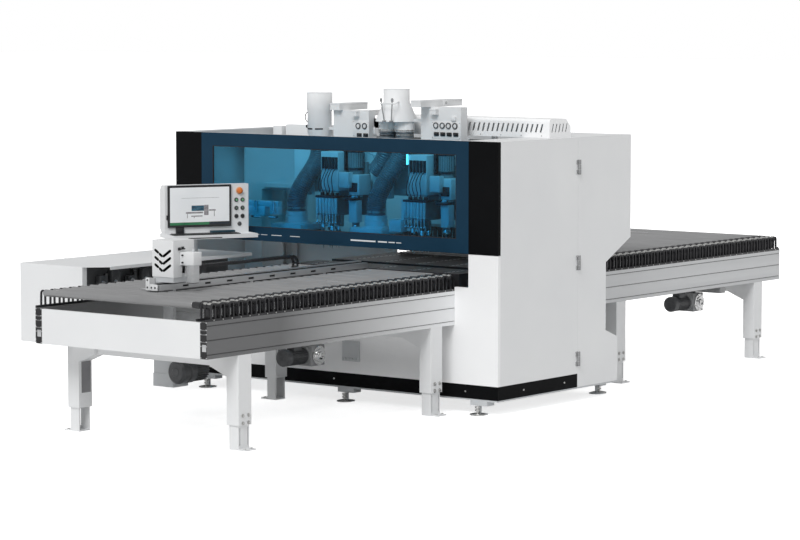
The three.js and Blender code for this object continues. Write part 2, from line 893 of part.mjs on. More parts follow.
// Slotted cover over the heads' cable chain: a bent shell with half a floor and a
// row of slanted slots along its front and on its end, on two stays from the beam
function cableChainCover() {
  const c = chainCover;
  const right = side - c.rightInset;
  const z0 = cabinet.top + seat;
  const z1 = z0 + c.height;
  const y0 = c.frontY;
  const y1 = c.frontY + c.depth;
  const profile = (inset) => {
    const shape = new THREE.Shape();
    const r = c.corner - inset;
    shape.moveTo(y0 + inset, z0 - (inset > 0 ? overrun : 0));
    shape.lineTo(y0 + inset, z1 - inset - r);
    shape.absarc(y0 + inset + r, z1 - inset - r, r, Math.PI, Math.PI / 2, true);
    shape.lineTo(y1 - c.chamfer, z1 - inset);
    shape.lineTo(y1 - inset, z1 - c.chamfer);
    shape.lineTo(y1 - inset, z0 - (inset > 0 ? overrun : 0));
    return shape;
  };
  const shell = prism('x', profile(0), c.left, right, 4);
  const hollow = prism('x', profile(c.sheet), c.left + c.sheet, right - c.sheet, 4);
  const slotBottom = z0 + (c.height - c.slotRise) / 2;
  const slotOutline = (at) => [
    [at, slotBottom],
    [at + c.slotWidth, slotBottom],
    [at + c.slotWidth + c.slotLean, slotBottom + c.slotRise],
    [at + c.slotLean, slotBottom + c.slotRise],
  ];
  const slots = times(c.slotCount, (i) => prism(
    'y', slotOutline(right - (i + 2) * c.slotPitch), y0 - overrun, y0 + c.sheet + bite,
  ));
  const endSlots = times(c.endSlotCount, (i) => prism(
    'x', slotOutline(y0 + (i + 0.6) * c.slotPitch), right - c.sheet - bite, right + overrun,
  ));
  const stayShares = [0.2, 0.6];
  const stays = stayShares.map((share) => {
    const x = c.left + share * (right - c.left);
    return block(
      [x, x + c.slotPitch],
      [gantryRear - c.slotPitch, gantryRear - c.corner],
      [gantry.beamTop + seat, z0 + c.sheet],
    );
  });
  const floorStrip = block(
    [c.left + c.sheet - bite, right - c.sheet + bite],
    [gantryRear - c.slotPitch, y1 - c.sheet + bite],
    [z0, z0 + c.sheet],
  );
  return join(cut(shell, hollow, slots, endSlots), stays, floorStrip);
}

piece('cable_chain_cover', cableChainCover(), white);

// Conveyor beams: extruded aluminium with three grooves on the outer face
function conveyorBeam([x0, x1], outer, y0, y1) {
  const z0 = conveyor.beamBottom;
  const z1 = conveyor.beamTop;
  const tube = block([x0, x1], [y0, y1], [z0, z1]);
  const heights = [z0 + conveyor.grooveEdge, (z0 + z1) / 2, z1 - conveyor.grooveEdge];
  const x = outer > 0 ? [x1 - conveyor.grooveDeep, x1 + overrun] : [x0 - overrun, x0 + conveyor.grooveDeep];
  const grooves = heights.map((z) => block(
    x, [y0 - overrun, y1 + overrun], [z - conveyor.grooveWide / 2, z + conveyor.grooveWide / 2],
  ));
  return cut(tube, grooves);
}

const infeedSpan = [infeedEnd, drillLineY - bed.drillGap];
const outfeedSpan = [drillLineY + bed.drillGap, outfeedEnd];
piece('infeed_beam_right', conveyorBeam(rightBeam, 1, ...infeedSpan), aluminium);
piece('infeed_beam_left', conveyorBeam(leftBeam, -1, ...infeedSpan), aluminium);
piece('outfeed_beam_right', conveyorBeam(rightBeam, 1, ...outfeedSpan), aluminium);
piece('outfeed_beam_left', conveyorBeam(leftBeam, -1, ...outfeedSpan), aluminium);

// White sheet between the beams at each free end, its edges folded inwards
function endPanel(y, inward) {
  const depth = conveyor.endPanelInset;
  const x = [leftBeam[1] + seat, rightBeam[0] - seat];
  const ys = inward > 0 ? [y, y + depth] : [y - depth, y];
  return cassette(x, ys, [conveyor.beamBottom, conveyor.beamTop - running * 5], inward > 0 ? '+y' : '-y');
}

piece('infeed_end_panel', endPanel(infeedEnd, 1), white);
piece('outfeed_end_panel', endPanel(outfeedEnd, -1), white);

// How many rollers fit a stretch of bed, and where the first one lies
const rollerCount = (yStart, yEnd) => Math.floor(
  (yEnd - yStart - bed.fingerSlope / 2) / bed.pitch,
);
const firstRoller = (yStart, yEnd) => (
  (yStart + yEnd - (rollerCount(yStart, yEnd) - 1) * bed.pitch) / 2
);

// Roller bed: a comb of forked brackets on the right beam, a single comb on the
// left beam, and the rollers that seat in both. The end brackets have a sloped foot.
function rollerBed(yStart, yEnd) {
  const count = rollerCount(yStart, yEnd);
  const first = firstRoller(yStart, yEnd);
  const z0 = conveyor.beamTop + seat;
  const stripTop = z0 + bed.strip;
  const half = bed.finger / 2;
  const crown = bed.fingerTopWide / 2;
  const outline = [[yStart, z0], [yStart, stripTop]];
  times(count, (i) => {
    const y = first + i * bed.pitch;
    const foot = i === count - 1 ? half + bed.fingerSlope / 2 : half;
    outline.push([y - half, stripTop], [y - crown, bed.fingerTop]);
    outline.push([y + crown, bed.fingerTop], [y + foot, stripTop]);
  });
  outline.push([yEnd, stripTop], [yEnd, z0]);
  const comb = (x0, x1) => prism('x', outline, x0, x1);
  const rightComb = cut(
    comb(rightFace - bed.bracketWide, rightFace),
    block(
      [rightFace - bed.bracketWide + bed.bracketLeg, rightFace - bed.bracketLeg],
      [yStart - overrun, yEnd + overrun],
      [stripTop, bed.fingerTop - bed.bracketCap],
    ),
  );
  const leftComb = comb(leftFace, leftFace + bed.leftBracket);
  const rollers = times(count, (i) => rod(
    'x',
    [first + i * bed.pitch, rollerZ],
    bed.roller / 2,
    leftFace + bed.leftBracket - bite,
    rightFace - bed.bracketWide + bite,
    bed.rollerSides,
  ));
  return join(rightComb, leftComb, rollers);
}

const infeedBedEnd = infeedSpan[1] - table.frontDepth - seat;
const outfeedBedStart = outfeedSpan[0] + table.rearDepth + seat;
const infeedFirstRoller = firstRoller(infeedEnd, infeedBedEnd);
piece('infeed_roller_bed', rollerBed(infeedEnd, infeedBedEnd), plastic);
piece('outfeed_roller_bed', rollerBed(outfeedBedStart, outfeedEnd), plastic);

// Air tables on both sides of the drilling line, on top of the beams
function airTable(y0, y1) {
  const body = block([leftFace, rightFace], [y0, y1], [conveyor.beamTop + seat, table.top]);
  const pitch = (rightFace - leftFace) / table.grooveCount;
  const channels = times(table.grooveCount, (i) => {
    const x = leftFace + (i + 0.5) * pitch;
    return block(
      [x - table.groove / 2, x + table.groove / 2],
      [y0 + table.groove, y1 - table.groove],
      [table.top - table.grooveDeep, table.top + overrun],
    );
  });
  return cut(body, channels);
}

piece('front_table', airTable(infeedSpan[1] - table.frontDepth, infeedSpan[1]), plastic);
piece('rear_table', airTable(outfeedSpan[0], outfeedSpan[0] + table.rearDepth), plastic);

// Trestles: upper legs and cross member, and telescopic inner legs, bolted
function trestleAt(y) {
  const t = trestle;
  const z1 = conveyor.beamBottom - seat;
  const legs = [-1, 1].map((hand) => {
    const outer = conveyor.middleX + hand * conveyor.halfWidth;
    const inner = outer - hand * t.legWide;
    const leg = prism('y', [
      [outer, z1],
      [outer, t.legBottom],
      [inner, t.legBottom],
      [inner, z1 - t.gusset],
      [inner - hand * t.gusset, z1 - t.crossHigh + bite],
      [inner - hand * t.gusset, z1],
    ], y, y + t.legDeep);
    return join(leg, innerLeg(outer, hand, y));
  });
  const cross = block(
    [leftFace + t.legWide, rightFace - t.legWide],
    [y + (t.legDeep - t.crossDeep) / 2, y + (t.legDeep + t.crossDeep) / 2],
    [z1 - t.crossHigh, z1],
  );
  return join(legs, cross);
}

// Inner leg: a channel open towards the machine's middle, with two long slots
function innerLeg(outer, hand, y) {
  const t = trestle;
  const outset = (t.legWide - t.innerWide) / 2;
  const span = (a, b) => [outer - hand * a, outer - hand * b].sort((p, q) => p - q);
  const y0 = y + (t.legDeep - t.innerDeep) / 2;
  const y1 = y0 + t.innerDeep;
  const body = block(span(outset, outset + t.innerWide), [y0, y1], [0, t.legBottom + bite]);
  const channel = block(
    span(outset + t.innerWall, outset + t.innerWide + overrun),
    [y0 + t.innerWall, y1 - t.innerWall],
    [t.plateThick, t.legBottom - bite],
  );
  const slots = [t.slotEdge, t.legDeep - t.slotEdge].map((offset) => block(
    span(outset - overrun, outset + t.innerWall + bite),
    [y + offset - t.slotWide / 2, y + offset + t.slotWide / 2],
    [t.plateThick * 3, t.slotTop],
  ));
  const plate = block(span(-t.plateOut, outset + t.innerWide), [y0, y1], [0, t.plateThick]);
  return join(cut(body, channel, slots), plate);
}

const trestleNames = ['infeed_front', 'infeed_rear', 'outfeed_front', 'outfeed_rear'];
trestlePlaces.forEach((y, i) => piece(`${trestleNames[i]}_trestle`, trestleAt(y), white));

// Long housing on the infeed's left: sheet walls and roof, open to the bed, on
// arms from the infeed's beam and stays at the cabinet
function leftHousing() {
  const h = housing;
  const s = h.sheet;
  const [left, right] = housingX;
  const rear = cabinet.frontY - seat;
  const floor = block([left, right], [housingFront, rear], [h.bottom, h.bottom + s]);
  const outerWall = block([left, left + s], [housingFront, rear], [h.bottom, h.top]);
  const frontWall = block([left, right], [housingFront, housingFront + s], [h.bottom, h.top]);
  const frontReturn = block(
    [right - s, right], [housingFront, housingFront + h.returnWide], [h.bottom, h.top],
  );
  const lowerWall = block([right - s, right], [housingFront, rear], [h.bottom, conveyor.beamTop]);
  const roofSheet = prism('z', [
    [left, housingFront],
    [right, housingFront],
    [right + h.roofReach, housingFront + h.roofReach],
    [right + h.roofReach, rear],
    [left, rear],
  ], h.top - s, h.top);
  const lip = block(
    [right + h.roofReach - s, right + h.roofReach],
    [housingFront + h.roofReach, rear],
    [h.top - h.returnWide / 2, h.top],
  );
  const stays = [-side + cabinet.cassette, right - h.returnWide * 2].map((x) => block(
    [x, x + h.returnWide * 2],
    [rear - h.returnWide * 3, rear],
    [h.bottom - bracketDrop(h), h.bottom + bite],
  ));
  const armBottom = conveyor.beamBottom + conveyor.grooveEdge;
  const arms = h.armShares.map((share) => {
    const y = housingFront + share * (rear - housingFront);
    return block(
      [right - bite, leftFace - seat], [y, y + h.returnWide * 2], [armBottom, armBottom + h.returnWide],
    );
  });
  return join(floor, outerWall, frontWall, frontReturn, lowerWall, roofSheet, lip, stays, arms);
}

// The housing's rear stays hang down the cabinet's front to the floor frame
const bracketDrop = (h) => h.bottom - cabinet.kickTop - seat;

piece('left_housing', leftHousing(), white);

// Fence beam that the gripper runs on: pockets on its flank, a rail on top, a
// ledge on its left for the cable chain, and posts between the rollers down to
// bars across the bed
const chainX = [
  gripper.coverLeft - cableChain.clearance - cableChain.wide,
  gripper.coverLeft - cableChain.clearance,
];

function fenceBeam() {
  const f = fence;
  const beam = block([f.left, f.right], [fenceFront, fenceRear], [f.bottom, f.top]);
  const count = Math.floor((fenceRear - fenceFront) / f.pocketPitch) - 1;
  const middle = (f.bottom + f.top) / 2;
  const pockets = times(count, (i) => {
    const y = fenceFront + (i + 1) * f.pocketPitch;
    return block(
      [f.right - f.pocketDeep, f.right + overrun],
      [y, y + f.pocketLong],
      [middle - f.pocketHigh / 2, middle + f.pocketHigh / 2],
    );
  });
  const rail = block(
    [f.left + f.railWide / 2, f.left + f.railWide * 1.5],
    [fenceFront + f.endPlate, fenceRear],
    [f.top - bite, f.top + f.railHigh],
  );
  const plate = block(
    [f.left - f.endPlate, f.left + f.railWide * 2],
    [fenceFront - f.endPlate, fenceFront + bite],
    [f.bottom, f.top + f.railHigh * 4],
  );
  const ledge = block(
    [chainX[0], f.left + bite], [fenceFront + f.endPlate, fenceRear], [f.bottom, f.bottom + f.ledgeThick],
  );
  const posts = f.postShares.flatMap((share) => {
    const gap = Math.floor(share * rollerCount(infeedEnd, infeedBedEnd));
    const y = infeedFirstRoller + (gap + 0.5) * bed.pitch;
    const post = block(
      [f.right - f.postWide, f.right],
      [y - f.postThick / 2, y + f.postThick / 2],
      [f.barBottom, f.bottom + bite],
    );
    const bar = block(
      [leftBeam[1] + seat, rightBeam[0] - seat],
      [y - f.barHigh / 2, y + f.barHigh / 2],
      [f.barBottom, f.barBottom + f.barHigh],
    );
    return [post, bar];
  });
  return join(cut(beam, pockets), rail, plate, ledge, posts);
}

piece('fence_beam', fenceBeam(), grey);

// Gripper carriage: saddle on the fence, upright plate, clamp cylinder and the
// arm over the cable chain that tows it
const gripperMiddle = (gripperFront + gripperRear) / 2;
const railTop = fence.top + fence.railHigh;
const jawRight = gripper.cylinderRight - gripper.slotWide;
const jawRodPlace = [jawRight - gripper.jawWide / 2, gripperMiddle];

function gripperCarriage() {
  const g = gripper;
  const f = fence;
  const s = g.coverSheet;
  const y = [gripperFront + s + seat, gripperRear - s - seat];
  const saddle = block(
    [g.coverLeft + s + seat, g.coverRight - s - seat],
    y,
    [railTop + seat, g.coverBottom + f.railHigh * 2],
  );
  const upright = block(
    [f.left, f.right + s],
    [gripperMiddle - f.railWide, gripperMiddle + f.railWide],
    [g.coverBottom, g.coverTop - s - running],
  );
  const cylinder = block(
    [g.coverRight + running, g.cylinderRight],
    [gripperMiddle - g.cylinderDeep / 2, gripperMiddle + g.cylinderDeep / 2],
    [g.cylinderBottom, g.cylinderTop],
  );
  const bore = rod(
    'z', jawRodPlace, g.jawRod + seat, g.cylinderBottom - overrun,
    g.cylinderBottom + g.jawTravel * 1.5 + overrun, 8,
  );
  const neck = block(
    [f.right, g.coverRight + running + bite],
    [gripperMiddle - g.jawDeep / 4, gripperMiddle + g.jawDeep / 4],
    [g.cylinderBottom + f.railHigh, g.cylinderTop - f.railHigh],
  );
  const gland = rod(
    'z', jawRodPlace, g.slotWide, g.cylinderTop - bite,
    g.cylinderTop + g.slotWide * 2, 10,
  );
  return join(saddle, upright, neck, cylinder, gland).subtract(bore);
}

// White cover over the carriage with rows of chevron slots on its infeed face,
// and the arm over the cable chain's moving end
const chainLowerZ = fence.bottom + fence.ledgeThick + seat + cableChain.thick / 2;
const chainTop = chainLowerZ + cableChain.radius * 2 + cableChain.thick / 2;

function gripperCover() {
  const g = gripper;
  const s = g.coverSheet;
  const shell = block(
    [g.coverLeft, g.coverRight],
    [gripperFront, gripperRear],
    [g.coverBottom, g.coverTop],
  );
  const hollow = block(
    [g.coverLeft + s, g.coverRight - s],
    [gripperFront + s, gripperRear - s],
    [g.coverBottom - overrun, g.coverTop - s],
  );
  const middle = (g.coverLeft + g.coverRight) / 2;
  const slots = times(g.slotRows, (i) => [-1, 1].map((hand) => {
    const z = g.coverBottom + s + g.slotPitch * (i + 1);
    const near = middle + hand * g.slotWide;
    const far = near + hand * g.slotLong;
    return prism('y', [
      [near, z],
      [near, z - g.slotWide],
      [far, z - g.slotWide + g.slotLean],
      [far, z + g.slotLean],
    ], gripperFront - overrun, gripperFront + s + overrun);
  })).flat();
  const window = block(
    [g.coverRight - s - overrun, g.coverRight + overrun],
    [gripperMiddle - g.jawDeep / 4 - running, gripperMiddle + g.jawDeep / 4 + running],
    [g.coverBottom - overrun, g.cylinderTop - fence.railHigh + running],
  );
  const towArm = block(
    [chainX[0], g.coverLeft + bite],
    [gripperMiddle - g.jawDeep / 2, gripperMiddle + g.jawDeep / 2],
    [chainTop + running, chainTop + running + s],
  );
  return join(cut(shell, hollow, slots, window), towArm);
}

// Clamp jaw: piston rod up into the cylinder, plate and a foot over the panel
function gripperJaw() {
  const g = gripper;
  const x = [jawRight - g.jawWide, jawRight];
  const y = [gripperMiddle - g.jawDeep / 2, gripperMiddle + g.jawDeep / 2];
  const plate = block(x, y, [g.jawBottom, g.cylinderBottom - seat]);
  const foot = prism('y', [
    [x[0] - g.slotWide, g.jawBottom - g.slotWide * 2],
    [x[1], g.jawBottom - g.slotWide * 2],
    [x[1], g.jawBottom + bite],
    [x[0], g.jawBottom + bite],
  ], ...y);
  const pistonRod = rod(
    'z', jawRodPlace, g.jawRod, g.cylinderBottom - bite, g.cylinderBottom + g.jawTravel * 1.5, 8,
  );
  return join(plate, foot, pistonRod);
}

piece('gripper_carriage', gripperCarriage(), grey);
piece('gripper_cover', gripperCover(), white);
piece('gripper_jaw', gripperJaw(), white);

// Cable chain of the gripper: lower run on the fence's ledge, half turn, upper run
function gripperCableChain() {
  const c = cableChain;
  const t = c.thick / 2;
  const lowerZ = chainLowerZ;
  const bendZ = lowerZ + c.radius;
  const upperStart = gripperMiddle - gripper.jawDeep / 2;
  const shape = new THREE.Shape();
  shape.moveTo(chainBend - c.lowerLength, lowerZ - t);
  shape.lineTo(chainBend, lowerZ - t);
  shape.absarc(chainBend, bendZ, c.radius + t, -Math.PI / 2, Math.PI / 2, false);
  shape.lineTo(upperStart, bendZ + c.radius + t);
  shape.lineTo(upperStart, bendZ + c.radius - t);
  shape.lineTo(chainBend, bendZ + c.radius - t);
  shape.absarc(chainBend, bendZ, c.radius - t, Math.PI / 2, -Math.PI / 2, true);
  shape.lineTo(chainBend - c.lowerLength, lowerZ + t);
  return prism('x', shape, ...chainX, 8);
}

piece('gripper_cable_chain', gripperCableChain(), plastic);

// Upper heads. Carriage: plate with bearing shoes on the gantry rails, tall
// electrical column over the roof, its boxes and the arm that holds the hood
const columnPlateY = [carriageFace - head.plateThick, carriageFace];

function bearingShoes(x0, x1, heights) {
  const w = gantry.railWide;
  return heights.flatMap((z) => [x0, x1 - w * 2].map((x) => cut(
    block(
      [x, x + w * 2],
      [carriageFace - bite, gantry.beamFront - running],
      [z - w, z + w],
    ),
    block(
      [x - overrun, x + w * 2 + overrun],
      [gantry.beamFront - gantry.railProud - seat, gantry.beamFront + overrun],
      [z - w / 2 - seat, z + w / 2 + seat],
    ),
  )));
}

const upperRails = [gantry.beamBottom + gantry.railWide, gantry.beamTop - gantry.railWide];
const hoodPlace = (h) => [h.hoodX, head.columnFront - head.blockDeep / 2];

function headCarriage(h) {
  const plate = block(
    [h.columnLeft, h.columnRight], columnPlateY, [head.zRailBottom, gantry.beamTop + head.saddle],
  );
  const shoes = bearingShoes(h.columnLeft, h.columnRight, upperRails);
  const columnTop = h.boxTop - h.boxHigh + bite;
  const column = cut(
    block(
      [h.columnLeft, h.columnRight],
      [head.columnFront, head.columnRear],
      [gantry.beamTop + running, columnTop],
    ),
    block(
      [h.columnLeft + cabinet.sheet, h.columnRight - cabinet.sheet],
      [head.columnFront + cabinet.sheet, head.columnRear + overrun],
      [gantry.beamTop + head.saddle + bite, columnTop - cabinet.sheet],
    ),
  );
  const ductBox = block(
    [h.boxX - h.boxWide / 2, h.boxX + h.boxWide / 2],
    [h.boxFront, h.boxFront + h.boxLong],
    [h.boxTop - h.boxHigh, h.boxTop],
  );
  const trunkFrom = head.columnFront - head.trunkFront;
  const trunk = block(
    [h.trunkX - h.trunkWide / 2, h.trunkX + h.trunkWide / 2],
    [trunkFrom, trunkFrom + head.trunkLong],
    [h.trunkTop - head.trunkHigh, h.trunkTop],
  );
  const rails = [-1, 1].map((hand) => {
    const middle = (h.columnLeft + h.columnRight) / 2;
    const x = middle + hand * head.zRailGap / 2;
    return block(
      [x - head.zRail / 2, x + head.zRail / 2],
      [columnPlateY[0] - head.zRailProud, columnPlateY[0] + bite],
      [head.zRailBottom, head.zRailTop],
    );
  });
  const strap = ductStrap(h);
  return join(plate, shoes, column, ductBox, trunk, rails, strap, hoodArm(h));
}

// Strap from the column to the duct beside it, cut round the duct
function ductStrap(h) {
  const twin = h === head2;
  const z0 = twin ? head.hoodBottom : gantry.beamTop + head.saddle * 1.5;
  const z = [z0, z0 + head.saddle / 3];
  const y = [ductY + running, head.columnRear - head.saddle / 3];
  const radius = head.duct / 2 - head.ductLowerInset;
  const reach = h.ductX + (twin ? head.duct / 2 + head.hoodSpread + seat : 0);
  return cut(
    block([reach, h.columnLeft + bite], y, z),
    rod('z', [h.ductX, ductY], radius + seat, z[0] - overrun, z[1] + overrun, 16),
  );
}

// Arm from the plate to the dust hood and the hood itself: base box and neck
function hoodArm(h) {
  const [x, y] = hoodPlace(h);
  const half = head.hoodBoxWide / 2;
  const z = [head.hoodBoxBottom, head.hoodBoxBottom + head.hoodBoxHigh];
  const box = cut(
    block([x - half, x + half], [y - head.hoodBoxDeep / 2, y + head.hoodBoxDeep / 2], z),
    block(
      [x - half + head.hoseWall, x + half - head.hoseWall],
      [y - head.hoodBoxDeep / 2 + head.hoseWall, y + head.hoodBoxDeep / 2 - head.hoseWall],
      [z[0] - overrun, z[1] - head.hoseWall],
    ),
  );
  const neckOuter = head.hoodNeck / 2;
  const neck = cut(
    rod('z', [x, y], neckOuter, z[1] - bite, head.hoodNeckTop, 16),
    rod('z', [x, y], hoseBore, z[0] - overrun, head.hoodNeckTop + overrun, 16),
  );
  const bore = rod('z', [x, y], hoseBore, z[0] - overrun, z[1] + overrun, 16);
  const armX = [Math.min(x, h.columnLeft), Math.max(x, h.columnLeft + head.armHigh)];
  const rearFace = columnPlateY[1];
  const boxRear = y + head.hoodBoxDeep / 2;
  const beam = block(
    [armX[0], armX[1]],
    [boxRear - bite, rearFace],
    [z[1] - head.armHigh, z[1]],
  );
  const hanger = block(
    [h.columnLeft, h.columnLeft + head.armHigh],
    [columnPlateY[0], rearFace],
    [z[1] - head.armHigh, head.zRailBottom + bite],
  );
  return join(cut(box, bore), neck, beam, hanger);
}

// Extraction duct of head 1: a plain round duct, stepped at its joint
function roundDuct(h) {
  const r = head.duct / 2;
  const low = r - head.ductLowerInset;
  const w = head.ductWall;
  const top = head.ductStepZ + h.ductNeck;
  return turned('z', [h.ductX, ductY], [
    [r, top],
    [r - w, top],
    [r - w, head.ductStepZ],
    [hoseBore, head.ductBottom],
    [head.hose / 2, head.ductBottom],
    [low, head.ductBottom + head.saddle],
    [low, head.ductStepZ],
    [r, head.ductStepZ],
    [r, top],
  ], 16);
}

// Extraction duct of head 2: round above, spreading to a wide hood with two
// round outlets side by side
function twinDuct(h) {
  const r = head.duct / 2;
  const w = head.ductWall;
  const top = head.hoodTop + h.ductNeck;
  const body = (inset) => turned('z', [h.ductX, ductY], [
    [0, top + (inset > 0 ? overrun : 0)],
    [r - inset, top + (inset > 0 ? overrun : 0)],
    [r - inset, head.hoodTop],
    [r + head.hoodSpread - inset, head.hoodBottom + inset],
    [0, head.hoodBottom + inset],
  ]);
  const outlets = [-1, 1].map((hand) => outletPlace(h, hand)).map((place) => [
    rod('z', place, head.outlet / 2, head.outletBottom, head.hoodBottom + bite, 16),
    rod('z', place, hoseBore, head.outletBottom - overrun, head.hoodBottom + w + bite, 16),
  ]);
  const outer = join(body(0), outlets.map(([ring]) => ring));
  return cut(outer, body(w), outlets.map(([, bore]) => bore));
}

const outletPlace = (h, hand) => [h.ductX + hand * (head.outlet / 2 + running * 2), ductY];

// Ribbed hose along a curve: two rings of points for each rib, a smooth bore,
// both ends straight
function ribbedHose(curve) {
  const sides = 8;
  const length = curve.getLength();
  const ribs = Math.floor(length / head.ribPitch);
  const outer = head.hose / 2;
  const inner = outer - head.ribHeight;
  const positions = [];
  const up = new THREE.Vector3(0, 1, 0);
  const ringAt = (share, radius) => {
    const at = curve.getPointAt(share);
    const along = curve.getTangentAt(share);
    const across = new THREE.Vector3().crossVectors(up, along).normalize();
    const lift = new THREE.Vector3().crossVectors(along, across);
    for (let i = 0; i < sides; i += 1) {
      const angle = (i / sides) * 2 * Math.PI;
      positions.push(
        ...at.clone()
          .addScaledVector(across, radius * Math.cos(angle))
          .addScaledVector(lift, radius * Math.sin(angle)),
      );
    }
  };
  for (let i = 0; i < ribs; i += 1) {
    ringAt(i / ribs, inner);
    ringAt((i + 0.5) / ribs, outer);
  }
  ringAt(1, inner);
  const boreEvery = 5;
  for (let i = ribs; i > 0; i -= boreEvery) ringAt(i / ribs, hoseBore);
  ringAt(0, hoseBore);
  const rings = positions.length / 3 / sides;
  const index = [];
  for (let k = 0; k < rings; k += 1) {
    const next = (k + 1) % rings;
    for (let i = 0; i < sides; i += 1) {
      const j = (i + 1) % sides;
      const [a, b, c, d] = [k * sides + i, k * sides + j, next * sides + i, next * sides + j];
      index.push(a, b, c, b, d, c);
    }
  }
  const geometry = new THREE.BufferGeometry();
  geometry.setAttribute('position', new THREE.Float32BufferAttribute(positions, 3));
  geometry.setIndex(index);
  return solid(geometry);
}

// The hose leaves its duct straight down and enters the hood's neck straight down
function hoseCurve([x0, y0, z0], [x1, y1, z1]) {
  const straight = head.hose / 2;
  const path = new THREE.CurvePath();
  const top = new THREE.Vector3(x0, y0, z0);
  const bottom = new THREE.Vector3(x1, y1, z1);
  const down = new THREE.Vector3(0, 0, -straight);
  const topEnd = top.clone().add(down);
  const bottomEnd = bottom.clone().sub(down);
  path.add(new THREE.LineCurve3(top, topEnd));
  path.add(new THREE.CubicBezierCurve3(
    topEnd,
    topEnd.clone().addScaledVector(down, 2),
    bottomEnd.clone().addScaledVector(down, -2),
    bottomEnd,
  ));
  path.add(new THREE.LineCurve3(bottomEnd, bottom));
  return path;
}

const hoodTopOf = (h) => [...hoodPlace(h), head.hoodNeckTop + seat];

// Drill block: slides on the carriage's upright rails; gear housing with a row
// of spindles and bits, and a routing motor with its nose beside it
function drillBlock(h) {
  const b = head;
  const faceY = columnPlateY[0] - b.zRailProud - seat;
  const front = faceY - b.blockDeep;
  const middle = (h.columnLeft + h.columnRight) / 2;
  const backPlate = block(
    [h.columnLeft + b.blockChamfer, h.columnRight - b.blockChamfer],
    [faceY - b.plateThick, faceY],
    [b.blockBottom, b.motorBottom + b.saddle],
  );
  const shoes = [-1, 1].flatMap((hand) => [b.blockTop, b.motorBottom].map((z) => {
    const x = middle + hand * b.zRailGap / 2;
    return cut(
      block(
        [x - b.zRail, x + b.zRail],
        [faceY - bite, columnPlateY[0] - running],
        [z, z + b.saddle],
      ),
      block(
        [x - b.zRail / 2 - seat, x + b.zRail / 2 + seat],
        [faceY, columnPlateY[0] + overrun],
        [z - overrun, z + b.saddle + overrun],
      ),
    );
  }));
  const half = b.blockWide / 2;
  const x = h.spindleX;
  const c = b.blockChamfer;
  const gearHousing = prism('z', [
    [x - half, faceY - bite],
    [x - half, front + c],
    [x - half + c, front],
    [x + half - c, front],
    [x + half, front + c],
    [x + half, faceY - bite],
  ], b.blockBottom, b.blockTop);
  const spindleSpan = b.blockDeep - c - b.plateThick;
  const spindles = times(b.spindleCount, (i) => {
    const y = front + c / 2 + b.spindle / 2 + (i * (spindleSpan - b.spindle)) / (b.spindleCount - 1);
    const tip = b.spindleBottom - (i % 2) * b.spindle;
    return turned('z', [x + (i % 2 ? 1 : -1) * b.spindle, y], [
      [0, b.blockBottom + bite],
      [b.spindle / 2, b.blockBottom + bite],
      [b.spindle / 2, tip],
      [b.bit / 2, tip - b.spindle / 2],
      [b.bit / 2, b.bitBottom + b.spindle],
      [0, b.bitBottom],
    ], 6);
  });
  const motorPlace = [h.motorX, faceY - b.motor / 2 - b.plateThick / 2];
  const r = b.motor / 2;
  const router = turned('z', motorPlace, [
    [0, b.motorTop],
    [r, b.motorTop],
    [r, b.motorBottom],
    [b.routerBody / 2, b.motorBottom],
    [b.routerBody / 2, b.blockTop],
    [b.routerNose / 2, b.blockBottom],
    [b.routerNose / 2, b.spindleBottom],
    [b.bit, b.spindleBottom],
    [b.bit, b.bitBottom + b.spindle],
    [0, b.bitBottom + b.spindle],
  ], 16);
  return join(backPlate, shoes, gearHousing, spindles, router);
}

[head1, head2].forEach((h, i) => {
  const name = `head_${i + 1}`;
  const twin = i === 1;
  piece(`${name}_carriage`, headCarriage(h), white);
  piece(`${name}_duct`, twin ? twinDuct(h) : roundDuct(h), white);
  const [x, y] = twin ? outletPlace(h, 1) : [h.ductX, ductY];
  const hoseTop = (twin ? head.outletBottom : head.ductBottom) - seat;
  piece(`${name}_hose`, ribbedHose(hoseCurve([x, y, hoseTop], hoodTopOf(h))), hosePlastic);
  piece(`${name}_drill_block`, drillBlock(h), grey);
});

// Lower head: carriage on the low beam, drill block that rises through the gap
function lowerCarriage() {
  const l = lowerHead;
  const x = [l.x - l.width / 2, l.x + l.width / 2];
  const heights = [gantry.lowerBottom + gantry.railWide, gantry.lowerTop - gantry.railWide];
  const plate = block(x, [carriageFace - l.plateThick, carriageFace], [l.bottom, l.top]);
  const w = gantry.railWide;
  const rails = [-1, 1].map((hand) => block(
    [l.x + hand * l.width / 3 - w / 2, l.x + hand * l.width / 3 + w / 2],
    [carriageFace - l.plateThick - head.zRailProud, carriageFace - l.plateThick + bite],
    [l.bottom, l.top],
  ));
  return join(plate, bearingShoes(x[0], x[1], heights), rails);
}

function lowerDrillBlock() {
  const l = lowerHead;
  const rear = carriageFace - l.plateThick - head.zRailProud - seat;
  const front = drillLineY - l.blockDeep / 2;
  const half = l.width / 2;
  const c = head.blockChamfer;
  const housingBody = prism('z', [
    [l.x - half, rear],
    [l.x - half, front + c],
    [l.x - half + c, front],
    [l.x + half - c, front],
    [l.x + half, front + c],
    [l.x + half, rear],
  ], l.blockBottom, l.blockTop);
  const count = head.spindleCount;
  const spindles = times(count, (i) => turned(
    'z',
    [l.x - half + c + ((i + 0.5) * (l.width - 2 * c)) / count, drillLineY],
    [
      [0, l.blockTop - bite],
      [head.spindle / 2, l.blockTop - bite],
      [head.spindle / 2, l.spindleTop],
      [head.bit / 2, l.spindleTop + head.spindle / 2],
      [head.bit / 2, l.bitTop - head.bit],
      [0, l.bitTop],
    ],
    6,
  ));
  return join(housingBody, spindles);
}

piece('lower_head_carriage', lowerCarriage(), grey);
piece('lower_head_drill_block', lowerDrillBlock(), grey);

